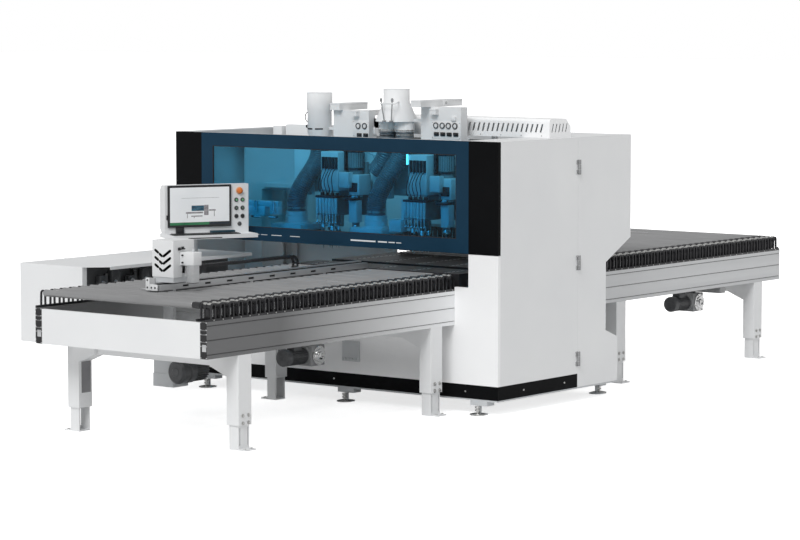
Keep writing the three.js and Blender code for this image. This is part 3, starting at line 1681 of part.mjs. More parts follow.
// Vacuum pump on its stand, hung under the infeed's left beam
function vacuumPump() {
  const p = pump;
  const y0 = infeedEnd + p.setBack;
  const standY = [y0 + p.length / 3, y0 + p.length / 3 + p.standDeep];
  const standX = [p.standX - p.standWide / 2, p.standX + p.standWide / 2];
  const stand = block(standX, standY, [p.standBottom, conveyor.beamBottom - seat]);
  const saddle = block(
    [standX[1] - bite, p.x], standY, [p.axisZ - p.radius / 2, p.axisZ + p.radius / 2],
  );
  const drum = turned('y', [p.x, p.axisZ], [
    [0, y0],
    [p.radius * 0.8, y0],
    [p.radius, y0 + p.radius * 0.2],
    [p.radius, y0 + p.length],
    [0, y0 + p.length],
  ], 20);
  return join(stand, saddle, drum);
}

piece('vacuum_pump', vacuumPump(), black);

// Gear motor: motor drum along the feed with a fan end, gear block and flange,
// hung from the beam above by its block
function gearMotorAt(m, frontY, hangX) {
  const g = gearMotor;
  const blockY = frontY + g.length;
  const drum = turned('y', [m.x, m.axisZ], [
    [0, frontY],
    [g.radius * 0.85, frontY],
    [g.radius, frontY + g.radius * 0.15],
    [g.radius, frontY + g.radius],
    [g.radius * 0.9, frontY + g.radius],
    [g.radius * 0.9, blockY + bite],
    [0, blockY + bite],
  ], 16);
  const gear = block(
    [m.x - g.block / 2, m.x + g.block / 2],
    [blockY, blockY + g.block],
    [m.axisZ - g.block / 2, m.axisZ + g.block / 2],
  );
  const reach = g.block / 2 + g.flange / 2;
  const flange = rod('x', [blockY + g.block / 2, m.axisZ], g.flange, m.x - reach, m.x + reach, 16);
  const railTop = conveyor.beamBottom - seat;
  const railY = [blockY + g.block / 4, blockY + g.block * 0.75];
  const rail = block(
    [Math.min(m.x - g.block / 2, hangX[0]), Math.max(m.x + g.block / 2, hangX[1])],
    railY,
    [railTop - g.rail, railTop],
  );
  const stay = block(
    [m.x - g.rail / 2, m.x + g.rail / 2],
    railY,
    [m.axisZ + g.block / 2 - bite, railTop - g.rail + bite],
  );
  return join(drum, gear, flange, rail, stay);
}

piece('infeed_gear_motor', gearMotorAt(
  infeedMotor, cabinet.frontY - infeedMotor.frontGap, leftBeam,
), grey);
piece('outfeed_gear_motor', gearMotorAt(
  outfeedMotor, outfeedEnd - outfeedMotor.endGap, rightBeam,
), grey);

// Operator's desk: post on the housing, and the swivelling part on top of it.
// The swivelling part is drawn facing -Y at the post and then turned.
const postTop = consoleDesk.bottom - consoleDesk.trayThick / 2;
const turnDesk = (body) => body
  .translate([-consoleDesk.postX, -consoleDesk.postY, 0])
  .rotate([0, 0, consoleDesk.turnDeg])
  .translate([consoleDesk.postX, consoleDesk.postY, 0]);

function consolePedestal() {
  const d = consoleDesk;
  const r = d.postRadius;
  return turned('z', [d.postX, d.postY], [
    [0, housing.top + seat],
    [r * 2, housing.top + seat],
    [r * 2, housing.top + r / 3],
    [r, housing.top + r / 2],
    [r, postTop],
    [0, postTop],
  ], 20);
}

piece('console_pedestal', consolePedestal(), grey);
const desk = {
  x0: consoleDesk.postX + consoleDesk.middleShift - consoleDesk.width / 2,
  x1: consoleDesk.postX + consoleDesk.middleShift + consoleDesk.width / 2,
  frontY: consoleDesk.postY - consoleDesk.deep + consoleDesk.backInset,
  rearY: consoleDesk.postY + consoleDesk.backInset,
};
const buttonPanelMiddle = desk.x1 - consoleDesk.buttonPanel / 2;
const buttonHeight = (share) => consoleDesk.bottom + share * (consoleDesk.top - consoleDesk.bottom);

function consoleBox() {
  const d = consoleDesk;
  const chamfer = d.deep / 3;
  const housingBody = prism('x', [
    [desk.frontY, d.bottom],
    [desk.rearY - chamfer, d.bottom],
    [desk.rearY, d.bottom + chamfer],
    [desk.rearY, d.top - chamfer],
    [desk.rearY - chamfer, d.top],
    [desk.frontY, d.top],
  ], desk.x0, desk.x1);
  const bezelBottom = d.bottom + (d.top - d.bottom - d.bezelHigh) / 2;
  const screen = block(
    [desk.x0 + d.bezelInset * 2, desk.x0 + d.bezelWide],
    [desk.frontY - overrun, desk.frontY + d.bezelDeep / 2],
    [bezelBottom + d.bezelInset, bezelBottom + d.bezelHigh - d.bezelInset],
  );
  const holes = d.buttonRowShares.flatMap((share) => [-1, 1].map((hand) => rod(
    'y',
    [buttonPanelMiddle + hand * d.buttonGap / 2, buttonHeight(share)],
    d.button + seat,
    desk.frontY - overrun,
    desk.frontY + d.bezelDeep + d.buttonTravel,
    12,
  )));
  const stopHole = rod(
    'y', [buttonPanelMiddle, buttonHeight(d.stopShare)], d.stopStem + seat, desk.frontY - overrun,
    desk.frontY + d.bezelDeep + d.stopTravel, 12,
  );
  const lamp = rod(
    'y', [buttonPanelMiddle, buttonHeight(d.lampShare)], d.button, desk.frontY - d.buttonProud / 2,
    desk.frontY + bite, 12,
  );
  return join(cut(housingBody, screen, holes, stopHole), lamp);
}

piece('console_box', turnDesk(consoleBox()), white);

function keyboardTray() {
  const d = consoleDesk;
  const z = [d.bottom - d.trayThick, d.bottom - seat];
  const slab = block([desk.x0, desk.x1], [desk.frontY - d.trayDeep + d.deep, desk.rearY], z);
  const recess = block(
    [desk.x0 + d.trayLip, desk.x1 - d.trayLip],
    [desk.frontY - d.trayDeep + d.deep + d.trayLip, desk.frontY - d.trayLip],
    [z[1] - d.trayLip, z[1] + overrun],
  );
  const socket = rod(
    'z', [d.postX, d.postY], d.postRadius + seat, z[0] - overrun, postTop + seat, 20,
  );
  return cut(slab, recess, socket);
}

piece('keyboard_tray', turnDesk(keyboardTray()), white);

// Emergency stop: mushroom head on a stem
function emergencyStop() {
  const d = consoleDesk;
  const face = desk.frontY;
  return turned('y', [buttonPanelMiddle, buttonHeight(d.stopShare)], [
    [0, face + d.bezelDeep],
    [d.stopStem, face + d.bezelDeep],
    [d.stopStem, face - d.stopTravel - seat],
    [d.stop, face - d.stopTravel - seat],
    [d.stop, face - d.stopProud * 0.8],
    [d.stop * 0.7, face - d.stopProud],
    [0, face - d.stopProud],
  ], 12);
}

piece('emergency_stop', turnDesk(emergencyStop()), orange);

consoleDesk.buttonRowShares.forEach((share, row) => [-1, 1].forEach((hand, column) => {
  const d = consoleDesk;
  const x = buttonPanelMiddle + hand * d.buttonGap / 2;
  const button = rod(
    'y', [x, buttonHeight(share)], d.button, desk.frontY - d.buttonProud, desk.frontY + d.bezelDeep, 12,
  );
  piece(`push_button_${row * 2 + column + 1}`, turnDesk(button), buttonPaint);
}));

// The hinges stand proud on the right, so the middle of the whole lies a little
// to the right of the cabinet's
const hingeProud = hingeX + hinge.radius - side;
group.position.x = -hingeProud / 2;

export default group;
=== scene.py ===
import math

import bmesh
import bpy
from mathutils import Matrix, Vector


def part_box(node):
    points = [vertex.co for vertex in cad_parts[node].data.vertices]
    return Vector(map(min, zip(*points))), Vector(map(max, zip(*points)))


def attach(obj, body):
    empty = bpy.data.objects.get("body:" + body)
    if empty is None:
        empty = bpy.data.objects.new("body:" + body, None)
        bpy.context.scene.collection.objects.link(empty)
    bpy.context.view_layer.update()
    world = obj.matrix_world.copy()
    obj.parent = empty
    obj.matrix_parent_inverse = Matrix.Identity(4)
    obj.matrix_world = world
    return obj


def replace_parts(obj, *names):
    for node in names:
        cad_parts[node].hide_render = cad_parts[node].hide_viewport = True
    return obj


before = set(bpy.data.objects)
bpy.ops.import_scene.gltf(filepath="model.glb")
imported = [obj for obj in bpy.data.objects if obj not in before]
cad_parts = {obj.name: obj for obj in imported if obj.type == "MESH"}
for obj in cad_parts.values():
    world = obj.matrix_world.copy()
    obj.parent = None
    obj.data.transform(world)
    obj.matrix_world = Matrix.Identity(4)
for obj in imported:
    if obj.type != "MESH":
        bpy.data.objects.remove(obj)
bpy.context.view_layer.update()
scene = bpy.context.scene
scene.view_settings.view_transform = "Standard"

# Camera
# A long lens from the infeed side, a little above the machine, as the
# photograph was taken. Its place was fitted to corners of the cabinet and beds.
camera_azimuth = math.radians(37.69)
camera_drop = math.radians(5.06)
camera = bpy.data.objects.new("camera", bpy.data.cameras.new("camera"))
scene.collection.objects.link(camera)
camera.data.sensor_width = 36.0
camera.data.lens = 134.2
camera.data.clip_end = 400.0
camera.location = (13.9485, -18.172, 2.938)
look = Vector((
    -math.sin(camera_azimuth) * math.cos(camera_drop),
    math.cos(camera_azimuth) * math.cos(camera_drop),
    -math.sin(camera_drop),
))
camera.rotation_euler = look.to_track_quat("-Z", "Y").to_euler()
scene.camera = camera

# Studio
# A pale floor without an edge, a white surround that also shows in glass and
# metal, soft light from all round and one broad lamp from the front.
ambient_level = 0.55
floor_half = 120.0
floor_lift_level = 0.72
surround = bpy.data.worlds.new("studio_surround")
scene.world = surround
surround.use_nodes = True
world_nodes = surround.node_tree.nodes
world_links = surround.node_tree.links
background = world_nodes["Background"]
seen_ray = world_nodes.new("ShaderNodeLightPath")
seen = world_nodes.new("ShaderNodeMath")
seen.operation = "MAXIMUM"
world_links.new(seen_ray.outputs["Is Camera Ray"], seen.inputs[0])
world_links.new(seen_ray.outputs["Is Transmission Ray"], seen.inputs[1])
world_level = world_nodes.new("ShaderNodeMapRange")
world_level.inputs["To Min"].default_value = ambient_level
world_level.inputs["To Max"].default_value = 1.0
world_links.new(seen.outputs["Value"], world_level.inputs["Value"])
world_links.new(world_level.outputs["Result"], background.inputs["Strength"])
background.inputs["Color"].default_value = (1.0, 1.0, 1.0, 1.0)

lamp = bpy.data.objects.new("front_lamp", bpy.data.lights.new("front_lamp", "SUN"))
scene.collection.objects.link(lamp)
lamp.data.energy = 1.65
lamp.data.angle = math.radians(28)
lamp_from = Vector((0.22, -0.72, 0.72))
lamp.rotation_euler = lamp_from.to_track_quat("Z", "Y").to_euler()

floor_bm = bmesh.new()
bmesh.ops.create_grid(floor_bm, x_segments=1, y_segments=1, size=floor_half)
floor_mesh = bpy.data.meshes.new("studio_floor")
floor_bm.to_mesh(floor_mesh)
floor_bm.free()
studio_floor = bpy.data.objects.new("studio_floor", floor_mesh)
scene.collection.objects.link(studio_floor)
floor_paint = bpy.data.materials.new("studio_floor_paint")
floor_paint.use_nodes = True
floor_nodes = floor_paint.node_tree.nodes
floor_links = floor_paint.node_tree.links
floor_shader = floor_nodes["Principled BSDF"]
for socket, value in {
    "Base Color": (0.86, 0.86, 0.86, 1.0), "Roughness": 0.9, "Specular IOR Level": 0.1,
    "Emission Color": (1.0, 1.0, 1.0, 1.0),
}.items():
    floor_shader.inputs[socket].default_value = value
floor_ray = floor_nodes.new("ShaderNodeLightPath")
floor_lift = floor_nodes.new("ShaderNodeMath")
floor_lift.operation = "MULTIPLY"
floor_lift.inputs[1].default_value = floor_lift_level
floor_links.new(floor_ray.outputs["Is Camera Ray"], floor_lift.inputs[0])
floor_links.new(floor_lift.outputs["Value"], floor_shader.inputs["Emission Strength"])
floor_mesh.materials.append(floor_paint)

# Extraction hoses
# Smoky plastic hoses with a wire helix, clamped under the ducts and over the
# dust hoods. They ride with their head, and stand for the plain CAD hoses.
hose_radius = 0.069
hose_wall = 0.005
hose_sides = 40
rib_pitch = 0.0165
rib_height = 0.0075
rib_shape = (0.0, 0.75, 1.0, 0.75)
usual_slot = {}


def shader_of(name, colour, roughness, metallic=0.0, **sockets):
    """A material whose constant values sit on the shader's own sockets."""
    material = bpy.data.materials.new(name)
    material.use_nodes = True
    shader = material.node_tree.nodes["Principled BSDF"]
    shader.inputs["Base Color"].default_value = (*colour, 1.0)
    shader.inputs["Roughness"].default_value = roughness
    shader.inputs["Metallic"].default_value = metallic
    for socket, value in sockets.items():
        shader.inputs[socket.replace("_", " ")].default_value = value
    return material


def ramp_into(tree, value, low, high):
    """A colour ramp from one colour to the other, driving the base colour."""
    ramp = tree.nodes.new("ShaderNodeValToRGB")
    ramp.color_ramp.elements[0].color = (*low, 1.0)
    ramp.color_ramp.elements[1].color = (*high, 1.0)
    tree.links.new(value, ramp.inputs["Fac"])
    tree.links.new(ramp.outputs["Color"], tree.nodes["Principled BSDF"].inputs["Base Color"])
    return ramp


def surface(
    name, slot, base, roughness, low, high, scale, rough, bump=None, metallic=0.0,
    stretch=(1.0, 1.0, 1.0), detail=4.0, **sockets,
):
    """Clouds of two colours, uneven gloss and a fine relief, all in object space.

    The slot is the one that pieces of this material usually have in the CAD."""
    usual_slot[name] = slot
    material = shader_of(name, base, roughness, metallic, **sockets)
    tree = material.node_tree
    shader = tree.nodes["Principled BSDF"]
    coordinates = tree.nodes.new("ShaderNodeTexCoord")
    mapping = tree.nodes.new("ShaderNodeMapping")
    mapping.inputs["Scale"].default_value = stretch
    tree.links.new(coordinates.outputs["Object"], mapping.inputs["Vector"])
    clouds = tree.nodes.new("ShaderNodeTexNoise")
    clouds.inputs["Scale"].default_value = scale
    clouds.inputs["Detail"].default_value = detail
    tree.links.new(mapping.outputs["Vector"], clouds.inputs["Vector"])
    ramp = ramp_into(tree, clouds.outputs["Fac"], low, high)
    ramp.color_ramp.elements[0].position = 0.3
    ramp.color_ramp.elements[1].position = 0.7
    level = tree.nodes.new("ShaderNodeMapRange")
    level.inputs["To Min"].default_value = rough[0]
    level.inputs["To Max"].default_value = rough[1]
    tree.links.new(clouds.outputs["Fac"], level.inputs["Value"])
    tree.links.new(level.outputs["Result"], shader.inputs["Roughness"])
    if bump:
        fine = tree.nodes.new("ShaderNodeTexNoise")
        fine.inputs["Scale"].default_value = bump[0]
        fine.inputs["Detail"].default_value = 2.0
        tree.links.new(mapping.outputs["Vector"], fine.inputs["Vector"])
        relief = tree.nodes.new("ShaderNodeBump")
        relief.inputs["Strength"].default_value = bump[1]
        relief.inputs["Distance"].default_value = bump[2]
        tree.links.new(fine.outputs["Fac"], relief.inputs["Height"])
        tree.links.new(relief.outputs["Normal"], shader.inputs["Normal"])
    return material


def finish_piece(name, bm, material, body="machine", slot=None, sharp=32.0):
    """Turns a bmesh into a shown piece that rides on a CAD body."""
    slot = slot or usual_slot[material.name]
    bmesh.ops.recalc_face_normals(bm, faces=bm.faces)
    mesh = bpy.data.meshes.new(name)
    bm.to_mesh(mesh)
    bm.free()
    mesh.shade_smooth()
    mesh.set_sharp_from_angle(angle=math.radians(sharp))
    mesh.materials.append(material)
    made = bpy.data.objects.new(name, mesh)
    scene.collection.objects.link(made)
    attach(made, body)
    return made


def middle_of(node):
    """Middle of a CAD node's box."""
    low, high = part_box(node)
    return (low + high) / 2


def hose_route(top, bottom, straight=0.069, steps=160):
    """Straight down out of the duct, one smooth bend, straight down into the hood."""
    top_end = top - Vector((0, 0, straight))
    bottom_end = bottom + Vector((0, 0, straight))
    handle = Vector((0, 0, straight * 2))
    points = [top]
    for i in range(steps + 1):
        t = i / steps
        points.append(
            (1 - t) ** 3 * top_end
            + 3 * (1 - t) ** 2 * t * (top_end - handle)
            + 3 * (1 - t) * t ** 2 * (bottom_end + handle)
            + t ** 3 * bottom_end
        )
    points.append(bottom)
    return points


def ribbed_hose(name, points, head):
    """A corrugated hose round a line of points, ribs evenly spaced along it."""
    lengths = [0.0]
    for a, b in zip(points, points[1:]):
        lengths.append(lengths[-1] + (b - a).length)
    total = lengths[-1]

    def at(distance):
        k = max(i for i, length in enumerate(lengths) if length <= distance + 1e-9)
        k = min(k, len(points) - 2)
        share = (distance - lengths[k]) / max(lengths[k + 1] - lengths[k], 1e-9)
        return points[k].lerp(points[k + 1], share)

    bm = bmesh.new()
    rings = []
    steps = int(total / rib_pitch) * len(rib_shape)
    for i in range(steps + 1):
        distance = min(total * i / steps, total)
        ahead = at(min(distance + 0.004, total)) - at(max(distance - 0.004, 0.0))
        rise = rib_shape[i % len(rib_shape)] * rib_height
        turn = ahead.to_track_quat("Z", "Y").to_matrix().to_4x4()
        rings.append(bmesh.ops.create_circle(
            bm, segments=hose_sides, radius=hose_radius - rib_height + rise,
            matrix=Matrix.Translation(at(distance)) @ turn,
        )["verts"])
    for a, b in zip(rings, rings[1:]):
        for k in range(hose_sides):
            j = (k + 1) % hose_sides
            bm.faces.new((a[k], a[j], b[j], b[k]))
    bmesh.ops.recalc_face_normals(bm, faces=bm.faces)
    bmesh.ops.solidify(bm, geom=bm.faces[:], thickness=-hose_wall / 2)
    return finish_piece(name, bm, hose_plastic, head, sharp=60.0)


hose_plastic = surface(
    "smoky_hose_plastic", "hose_plastic", (0.12, 0.145, 0.165), 0.28,
    (0.10, 0.125, 0.145), (0.17, 0.20, 0.225), 18.0, (0.22, 0.4), Coat_Weight=0.3,
)
hose_ends = {}
for head in ("head_1", "head_2"):
    low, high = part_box(f"{head}_hose")
    hose_ends[head] = (
        Vector((high.x - hose_radius, middle_of(f"{head}_duct").y, high.z)),
        Vector((low.x + hose_radius, low.y + hose_radius, low.z)),
    )
    hose = ribbed_hose(f"{head}_ribbed_hose", hose_route(*hose_ends[head]), head)
    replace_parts(hose, f"{head}_hose")

# Floor frame and kick skirt
# Welded steel rails on levelling feet, painted light grey, and a black folded
# skirt screwed round them. The feet are turned steel pads with threaded studs.
def powder_coat(name, slot, colour, low_colour, gloss=(0.34, 0.46), **sockets):
    """Powder coated steel: even colour, faint orange peel, uneven gloss."""
    return surface(
        name, slot, colour, 0.4, low_colour, colour, 1.6, gloss, (420.0, 0.12, 0.0004), **sockets,
    )


white_coat = powder_coat("white_powder_coat", "white_paint", (0.80, 0.81, 0.815), (0.765, 0.775, 0.785))
grey_coat = powder_coat("grey_powder_coat", "grey_paint", (0.60, 0.62, 0.635), (0.55, 0.57, 0.585))
black_coat = powder_coat(
    "black_powder_coat", None, (0.004, 0.0042, 0.0048), (0.006, 0.0063, 0.007), (0.4, 0.5),
    Specular_IOR_Level=0.05,
)
turned_steel = surface(
    "turned_steel", "bare_aluminium", (0.62, 0.62, 0.61), 0.28, (0.52, 0.52, 0.51), (0.68, 0.68, 0.67),
    60.0, (0.2, 0.38), (900.0, 0.1, 0.0002), 1.0,
)
black_rubber = surface(
    "black_rubber", "black_plastic", (0.02, 0.02, 0.021), 0.8,
    (0.015, 0.015, 0.016), (0.028, 0.028, 0.03), 90.0, (0.7, 0.9),
)


def dress(material, *node_names):
    """Gives a CAD node its finish by its material slots."""
    for name in node_names:
        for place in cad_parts[name].material_slots:
            place.material = material


def bevel_edges(bm, edges, offset, segments=2):
    """Rounds some edges of a bmesh, each taken once and always in the same order."""
    bmesh.ops.bevel(
        bm, geom=list(dict.fromkeys(edges)), offset=offset, offset_type="OFFSET", segments=segments,
        profile=0.5, affect="EDGES", material=-1,
    )


def box_into(bm, low, high, bevel=0.0, segments=2):
    """A block between two corners, its edges rounded."""
    size = [b - a for a, b in zip(low, high)]
    middle = [(a + b) / 2 for a, b in zip(low, high)]
    place = Matrix.Translation(middle) @ Matrix.Diagonal((*size, 1.0))
    corners = bmesh.ops.create_cube(bm, size=1.0, matrix=place)["verts"]
    if bevel:
        bevel_edges(bm, [edge for corner in corners for edge in corner.link_edges], bevel, segments)


def rod_into(bm, start, end, radius, sides=24, bevel=0.0):
    """A round rod between two points, with its rims broken."""
    start, end = Vector(start), Vector(end)
    along = end - start
    turn = along.to_track_quat("Z", "Y").to_matrix().to_4x4()
    corners = bmesh.ops.create_cone(
        bm, cap_ends=True, cap_tris=False, segments=sides, radius1=radius, radius2=radius,
        depth=along.length, matrix=Matrix.Translation((start + end) / 2) @ turn,
    )["verts"]
    if bevel:
        bevel_edges(bm, [
            edge for corner in corners for edge in corner.link_edges
            if any(len(face.verts) == sides for face in edge.link_faces)
        ], bevel)


def turned_into(bm, start, axis, profile, sides=32):
    """A body turned about an axis; the profile is (radius, distance along it)."""
    start, axis = Vector(start), Vector(axis).normalized()
    out = axis.orthogonal().normalized()
    corners = [bm.verts.new(start + axis * along + out * radius) for radius, along in profile]
    edges = [bm.edges.new(pair) for pair in zip(corners, corners[1:])]
    before = set(bm.verts) - set(corners)
    bmesh.ops.spin(
        bm, geom=corners + edges, cent=start, axis=axis, angle=2 * math.pi, steps=sides,
        use_merge=True, use_duplicate=False,
    )
    made = [v for v in bm.verts if v not in before]
    bmesh.ops.remove_doubles(bm, verts=made, dist=1e-6)


def band(near, far, height):
    """Profile of a plain ring between two radii."""
    return ((near, 0.0), (far, 0.0), (far, height), (near, height), (near, 0.0))


def screw_into(bm, at, axis, radius, height, sides=12):
    """A socket head screw: a rounded head with a hexagon socket."""
    at, axis = Vector(at), Vector(axis).normalized()
    rod_into(bm, at, at + axis * height, radius, sides, bevel=radius * 0.18)
    socket = at + axis * (height + radius * 0.02)
    rod_into(bm, socket, socket + axis * radius * 0.02, radius * 0.5, 6)


dress(grey_coat, "base_frame", "enclosure_frame", "gantry_base", "gantry_beam")
dress(black_coat, "kick_skirt")

foot_low, foot_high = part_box("base_frame")
foot_shares = (-0.8, 0.09, 0.888)
foot_inset = 0.023
foot_radius = 0.0585
stud_radius, stud_top = 0.0105, 0.066
nut_radius, nut_high = 0.019, 0.014
cabinet_half = (foot_high.x - foot_low.x) / 2 + 0.0033
cabinet_middle_x = (foot_high.x + foot_low.x) / 2
feet_bm = bmesh.new()
for share in foot_shares:
    for y in (foot_low.y + foot_inset, foot_high.y - foot_inset):
        x = cabinet_middle_x + share * cabinet_half
        turned_into(feet_bm, (x, y, 0.0), (0, 0, 1), (
            (0.0, 0.0), (foot_radius - 0.003, 0.0), (foot_radius, 0.003), (foot_radius, 0.009),
            (0.03, 0.0155), (0.018, 0.018), (stud_radius, 0.019), (stud_radius, stud_top), (0.0, stud_top),
        ))
        for low_z in (0.028, 0.05):
            rod_into(feet_bm, (x, y, low_z), (x, y, low_z + nut_high), nut_radius, 6, 0.0012)
finish_piece("levelling_feet", feet_bm, turned_steel)

kick_low, kick_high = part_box("kick_skirt")
kick_bm = bmesh.new()
kick_z = (kick_low.z + kick_high.z) / 2
for x in (-1.21, 0.02, 1.24):
    screw_into(kick_bm, (x, kick_low.y, kick_z), (0, -1, 0), 0.007, 0.003)
for y in (kick_low.y + 0.32, kick_low.y + 0.84):
    screw_into(kick_bm, (kick_high.x, y, kick_z), (1, 0, 0), 0.007, 0.003)
finish_piece("kick_screws", kick_bm, turned_steel)

# Cabinet panels
# Folded sheet steel cassettes in white powder coat: front, access door, sides, rear and roof, the lower
# front panel in a lighter, painted lit copy of the coat. A rubber profile fills the seam behind the door.
# Painted light: a lighter copy of the white coat for the lower front panel.
front_painted_lit_white = powder_coat("front_painted_lit_white_coat", "white_paint", (0.93, 0.935, 0.94), (0.90, 0.905, 0.91))
dress(front_painted_lit_white, "lower_front_panel")
dress(
    white_coat, "access_door", "side_panel_right", "side_panel_left",
    "rear_upper_panel", "rear_lower_panel", "roof_panel",
)
door_low, door_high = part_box("access_door")
door_face = door_low.x + 0.03
door_rear = door_low.y + 0.979
seam_bm = bmesh.new()
box_into(
    seam_bm, (door_face - 0.012, door_rear + 0.0002, door_low.z),
    (door_face - 0.0012, door_rear + 0.0008, door_high.z),
)
finish_piece("door_seal", seam_bm, black_rubber)

# Window
# A navy printed border round one clear blue pane in a rubber gasket, between
# two black end covers. A row of white dashes runs along the lower border.
navy_gloss = surface(
    "navy_gloss", None, (0.008, 0.034, 0.066), 0.3, (0.006, 0.031, 0.060), (0.010, 0.040, 0.076),
    2.0, (0.26, 0.36), Specular_IOR_Level=0.1,
)
clear_blue = shader_of(
    "clear_blue_pane", (0.12, 0.52, 0.78), 0.0, Transmission_Weight=1.0, IOR=1.2, Specular_IOR_Level=0.2,
)
dress(navy_gloss, "window_frame")
dress(black_coat, "front_cover_left", "front_cover_right")
dress(clear_blue, "window_pane")
frame_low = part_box("window_frame")[0]
pane_low, pane_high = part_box("window_pane")
rebate = 0.0117
gasket = 0.005
left, right = pane_low.x + rebate, pane_high.x - rebate
foot, head = pane_low.z + rebate, pane_high.z - rebate
gasket_bm = bmesh.new()
for x0, x1, z0, z1 in (
    (left, right, foot, foot + gasket), (left, right, head - gasket, head),
    (left, left + gasket, foot + gasket, head - gasket),
    (right - gasket, right, foot + gasket, head - gasket),
):
    box_into(gasket_bm, (x0, frame_low.y + 0.001, z0), (x1, frame_low.y + 0.0082, z1), 0.001)
finish_piece("pane_gasket", gasket_bm, black_rubber)

white_ink = surface(
    "white_ink", "white_paint", (0.75, 0.78, 0.8), 0.4, (0.7, 0.73, 0.75), (0.8, 0.83, 0.85), 30.0,
    (0.35, 0.5),
)
ink_bm = bmesh.new()
ink_z = 1.2095
dashes = (
    (-0.755, -0.707, 0.004), (-0.690, -0.628, 0.004), (-0.587, -0.487, 0.005), (-0.404, -0.309, 0.005),
    (0.180, 0.415, 0.011), (0.438, 0.522, 0.010), (0.536, 0.594, 0.008), (0.607, 0.654, 0.006),
)
for start, end, tall in dashes:
    box_into(
        ink_bm, (start, frame_low.y - 0.0004, ink_z - tall / 2),
        (end, frame_low.y + 0.001, ink_z + tall / 2),
    )
finish_piece("border_dashes", ink_bm, white_ink)

# Dust curtain and air line box
# Black rubber strips on a folded rail, over the panel's way out at the rear; besides being a real curtain
# they darken the view there as painted shade of the cabinet's inside. A shallow pale grey box for the air
# line on the lower front, darker than the panel as painted shade of a recess.
# The black strips also stand for the shade inside the cabinet behind the opening.
strip_wide = 0.046
strip_pitch = 0.048
curtain_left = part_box("outfeed_beam_left")[0].x - 0.03
curtain_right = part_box("outfeed_beam_right")[1].x + 0.03
curtain_y = 0.452
rail_y = curtain_y + 0.003
curtain_foot, curtain_head = 1.0125, 1.215
curtain_bm = bmesh.new()
x = curtain_left
while x < curtain_right - strip_wide:
    box_into(
        curtain_bm, (x, curtain_y, curtain_foot), (x + strip_wide, curtain_y + 0.0025, curtain_head),
        0.0006,
    )
    x += strip_pitch
finish_piece("dust_curtain", curtain_bm, black_rubber)
rail_bm = bmesh.new()
for foot, deep in ((-0.03, 0.003), (0.017, 0.027)):
    box_into(
        rail_bm, (curtain_left - 0.02, rail_y, curtain_head + foot),
        (curtain_right + 0.02, rail_y + deep, curtain_head + 0.02), 0.0008,
    )
finish_piece("curtain_rail", rail_bm, grey_coat)
front_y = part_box("lower_front_panel")[0].y
# Grey box darker than the white panel: painted shade of a recess.
air_box_bm = bmesh.new()
box_into(air_box_bm, (0.1065, front_y - 0.012, 0.305), (0.2685, front_y, 0.458), 0.003)
box_into(air_box_bm, (0.1165, front_y - 0.0135, 0.345), (0.2585, front_y - 0.011, 0.448), 0.001)
for i in range(4):
    x = 0.135 + i * 0.035
    rod_into(air_box_bm, (x, front_y - 0.012, 0.325), (x, front_y - 0.022, 0.325), 0.007, 14, 0.001)
finish_piece("air_line_box", air_box_bm, grey_coat)

# Conveyor beams
# Extruded aluminium beams with slots along their outer faces, rubber cover strips in the slots, dark grey
# also as painted shade in the slots, and black plates over the open chambers at the free ends as painted
# shade inside the chambers; folded end panels. The infeed beams have painted shade that fades into a
# painted highlight towards the cabinet; the outfeed beams have a lighter, painted lit copy of the same
# aluminium.
anodised_relief = (260.0, 0.05, 0.0003)
along_beam = (1.0, 0.02, 1.0)
near_grey = (0.4, 0.41, 0.42)
anodised_painted_shade_fade = surface(
    "anodised_aluminium", "bare_aluminium", near_grey, 0.42, near_grey, near_grey,
    8.0, (0.36, 0.5), anodised_relief, 0.35, along_beam,
)
# Painted shade and light along the infeed beams: dark at their outer ends, bright towards the cabinet.
anodised_tree = anodised_painted_shade_fade.node_tree
place_node = anodised_tree.nodes.new("ShaderNodeTexCoord")
parts_node = anodised_tree.nodes.new("ShaderNodeSeparateXYZ")
anodised_tree.links.new(place_node.outputs["Object"], parts_node.inputs["Vector"])
painted_light_fade = anodised_tree.nodes.new("ShaderNodeMapRange")
painted_light_fade.inputs["From Min"].default_value = -2.9
painted_light_fade.inputs["From Max"].default_value = -1.0
anodised_tree.links.new(parts_node.outputs["Y"], painted_light_fade.inputs["Value"])
ramp_into(anodised_tree, painted_light_fade.outputs["Result"], (0.165, 0.167, 0.17), (0.86, 0.87, 0.88))
# A lighter, painted lit copy of the beam aluminium, for the outfeed beams.
anodised_painted_lit = surface(
    "anodised_aluminium_painted_lit", "bare_aluminium", (0.6, 0.61, 0.62), 0.42,
    (0.56, 0.57, 0.58), (0.66, 0.67, 0.68), 8.0, (0.36, 0.5), anodised_relief, 0.35, along_beam,
)
bright_aluminium = surface(
    "bright_aluminium", "bare_aluminium", (0.62, 0.63, 0.64), 0.34,
    (0.55, 0.56, 0.57), (0.68, 0.69, 0.7), 14.0, (0.28, 0.4), (300.0, 0.06, 0.0003), 0.8, (1.0, 0.1, 1.0),
)
satin_black = surface(
    "satin_black_plastic", "black_plastic", (0.016, 0.016, 0.018), 0.36,
    (0.013, 0.013, 0.015), (0.024, 0.024, 0.027), 26.0, (0.28, 0.44), (500.0, 0.08, 0.0003),
)
# Dark grey cover strips in the slots, also painted shade in the slots.
slot_shadow = surface(
    "slot_shadow_grey", "black_plastic", (0.05, 0.05, 0.052), 0.6,
    (0.042, 0.042, 0.044), (0.062, 0.062, 0.065), 30.0, (0.5, 0.7),
)

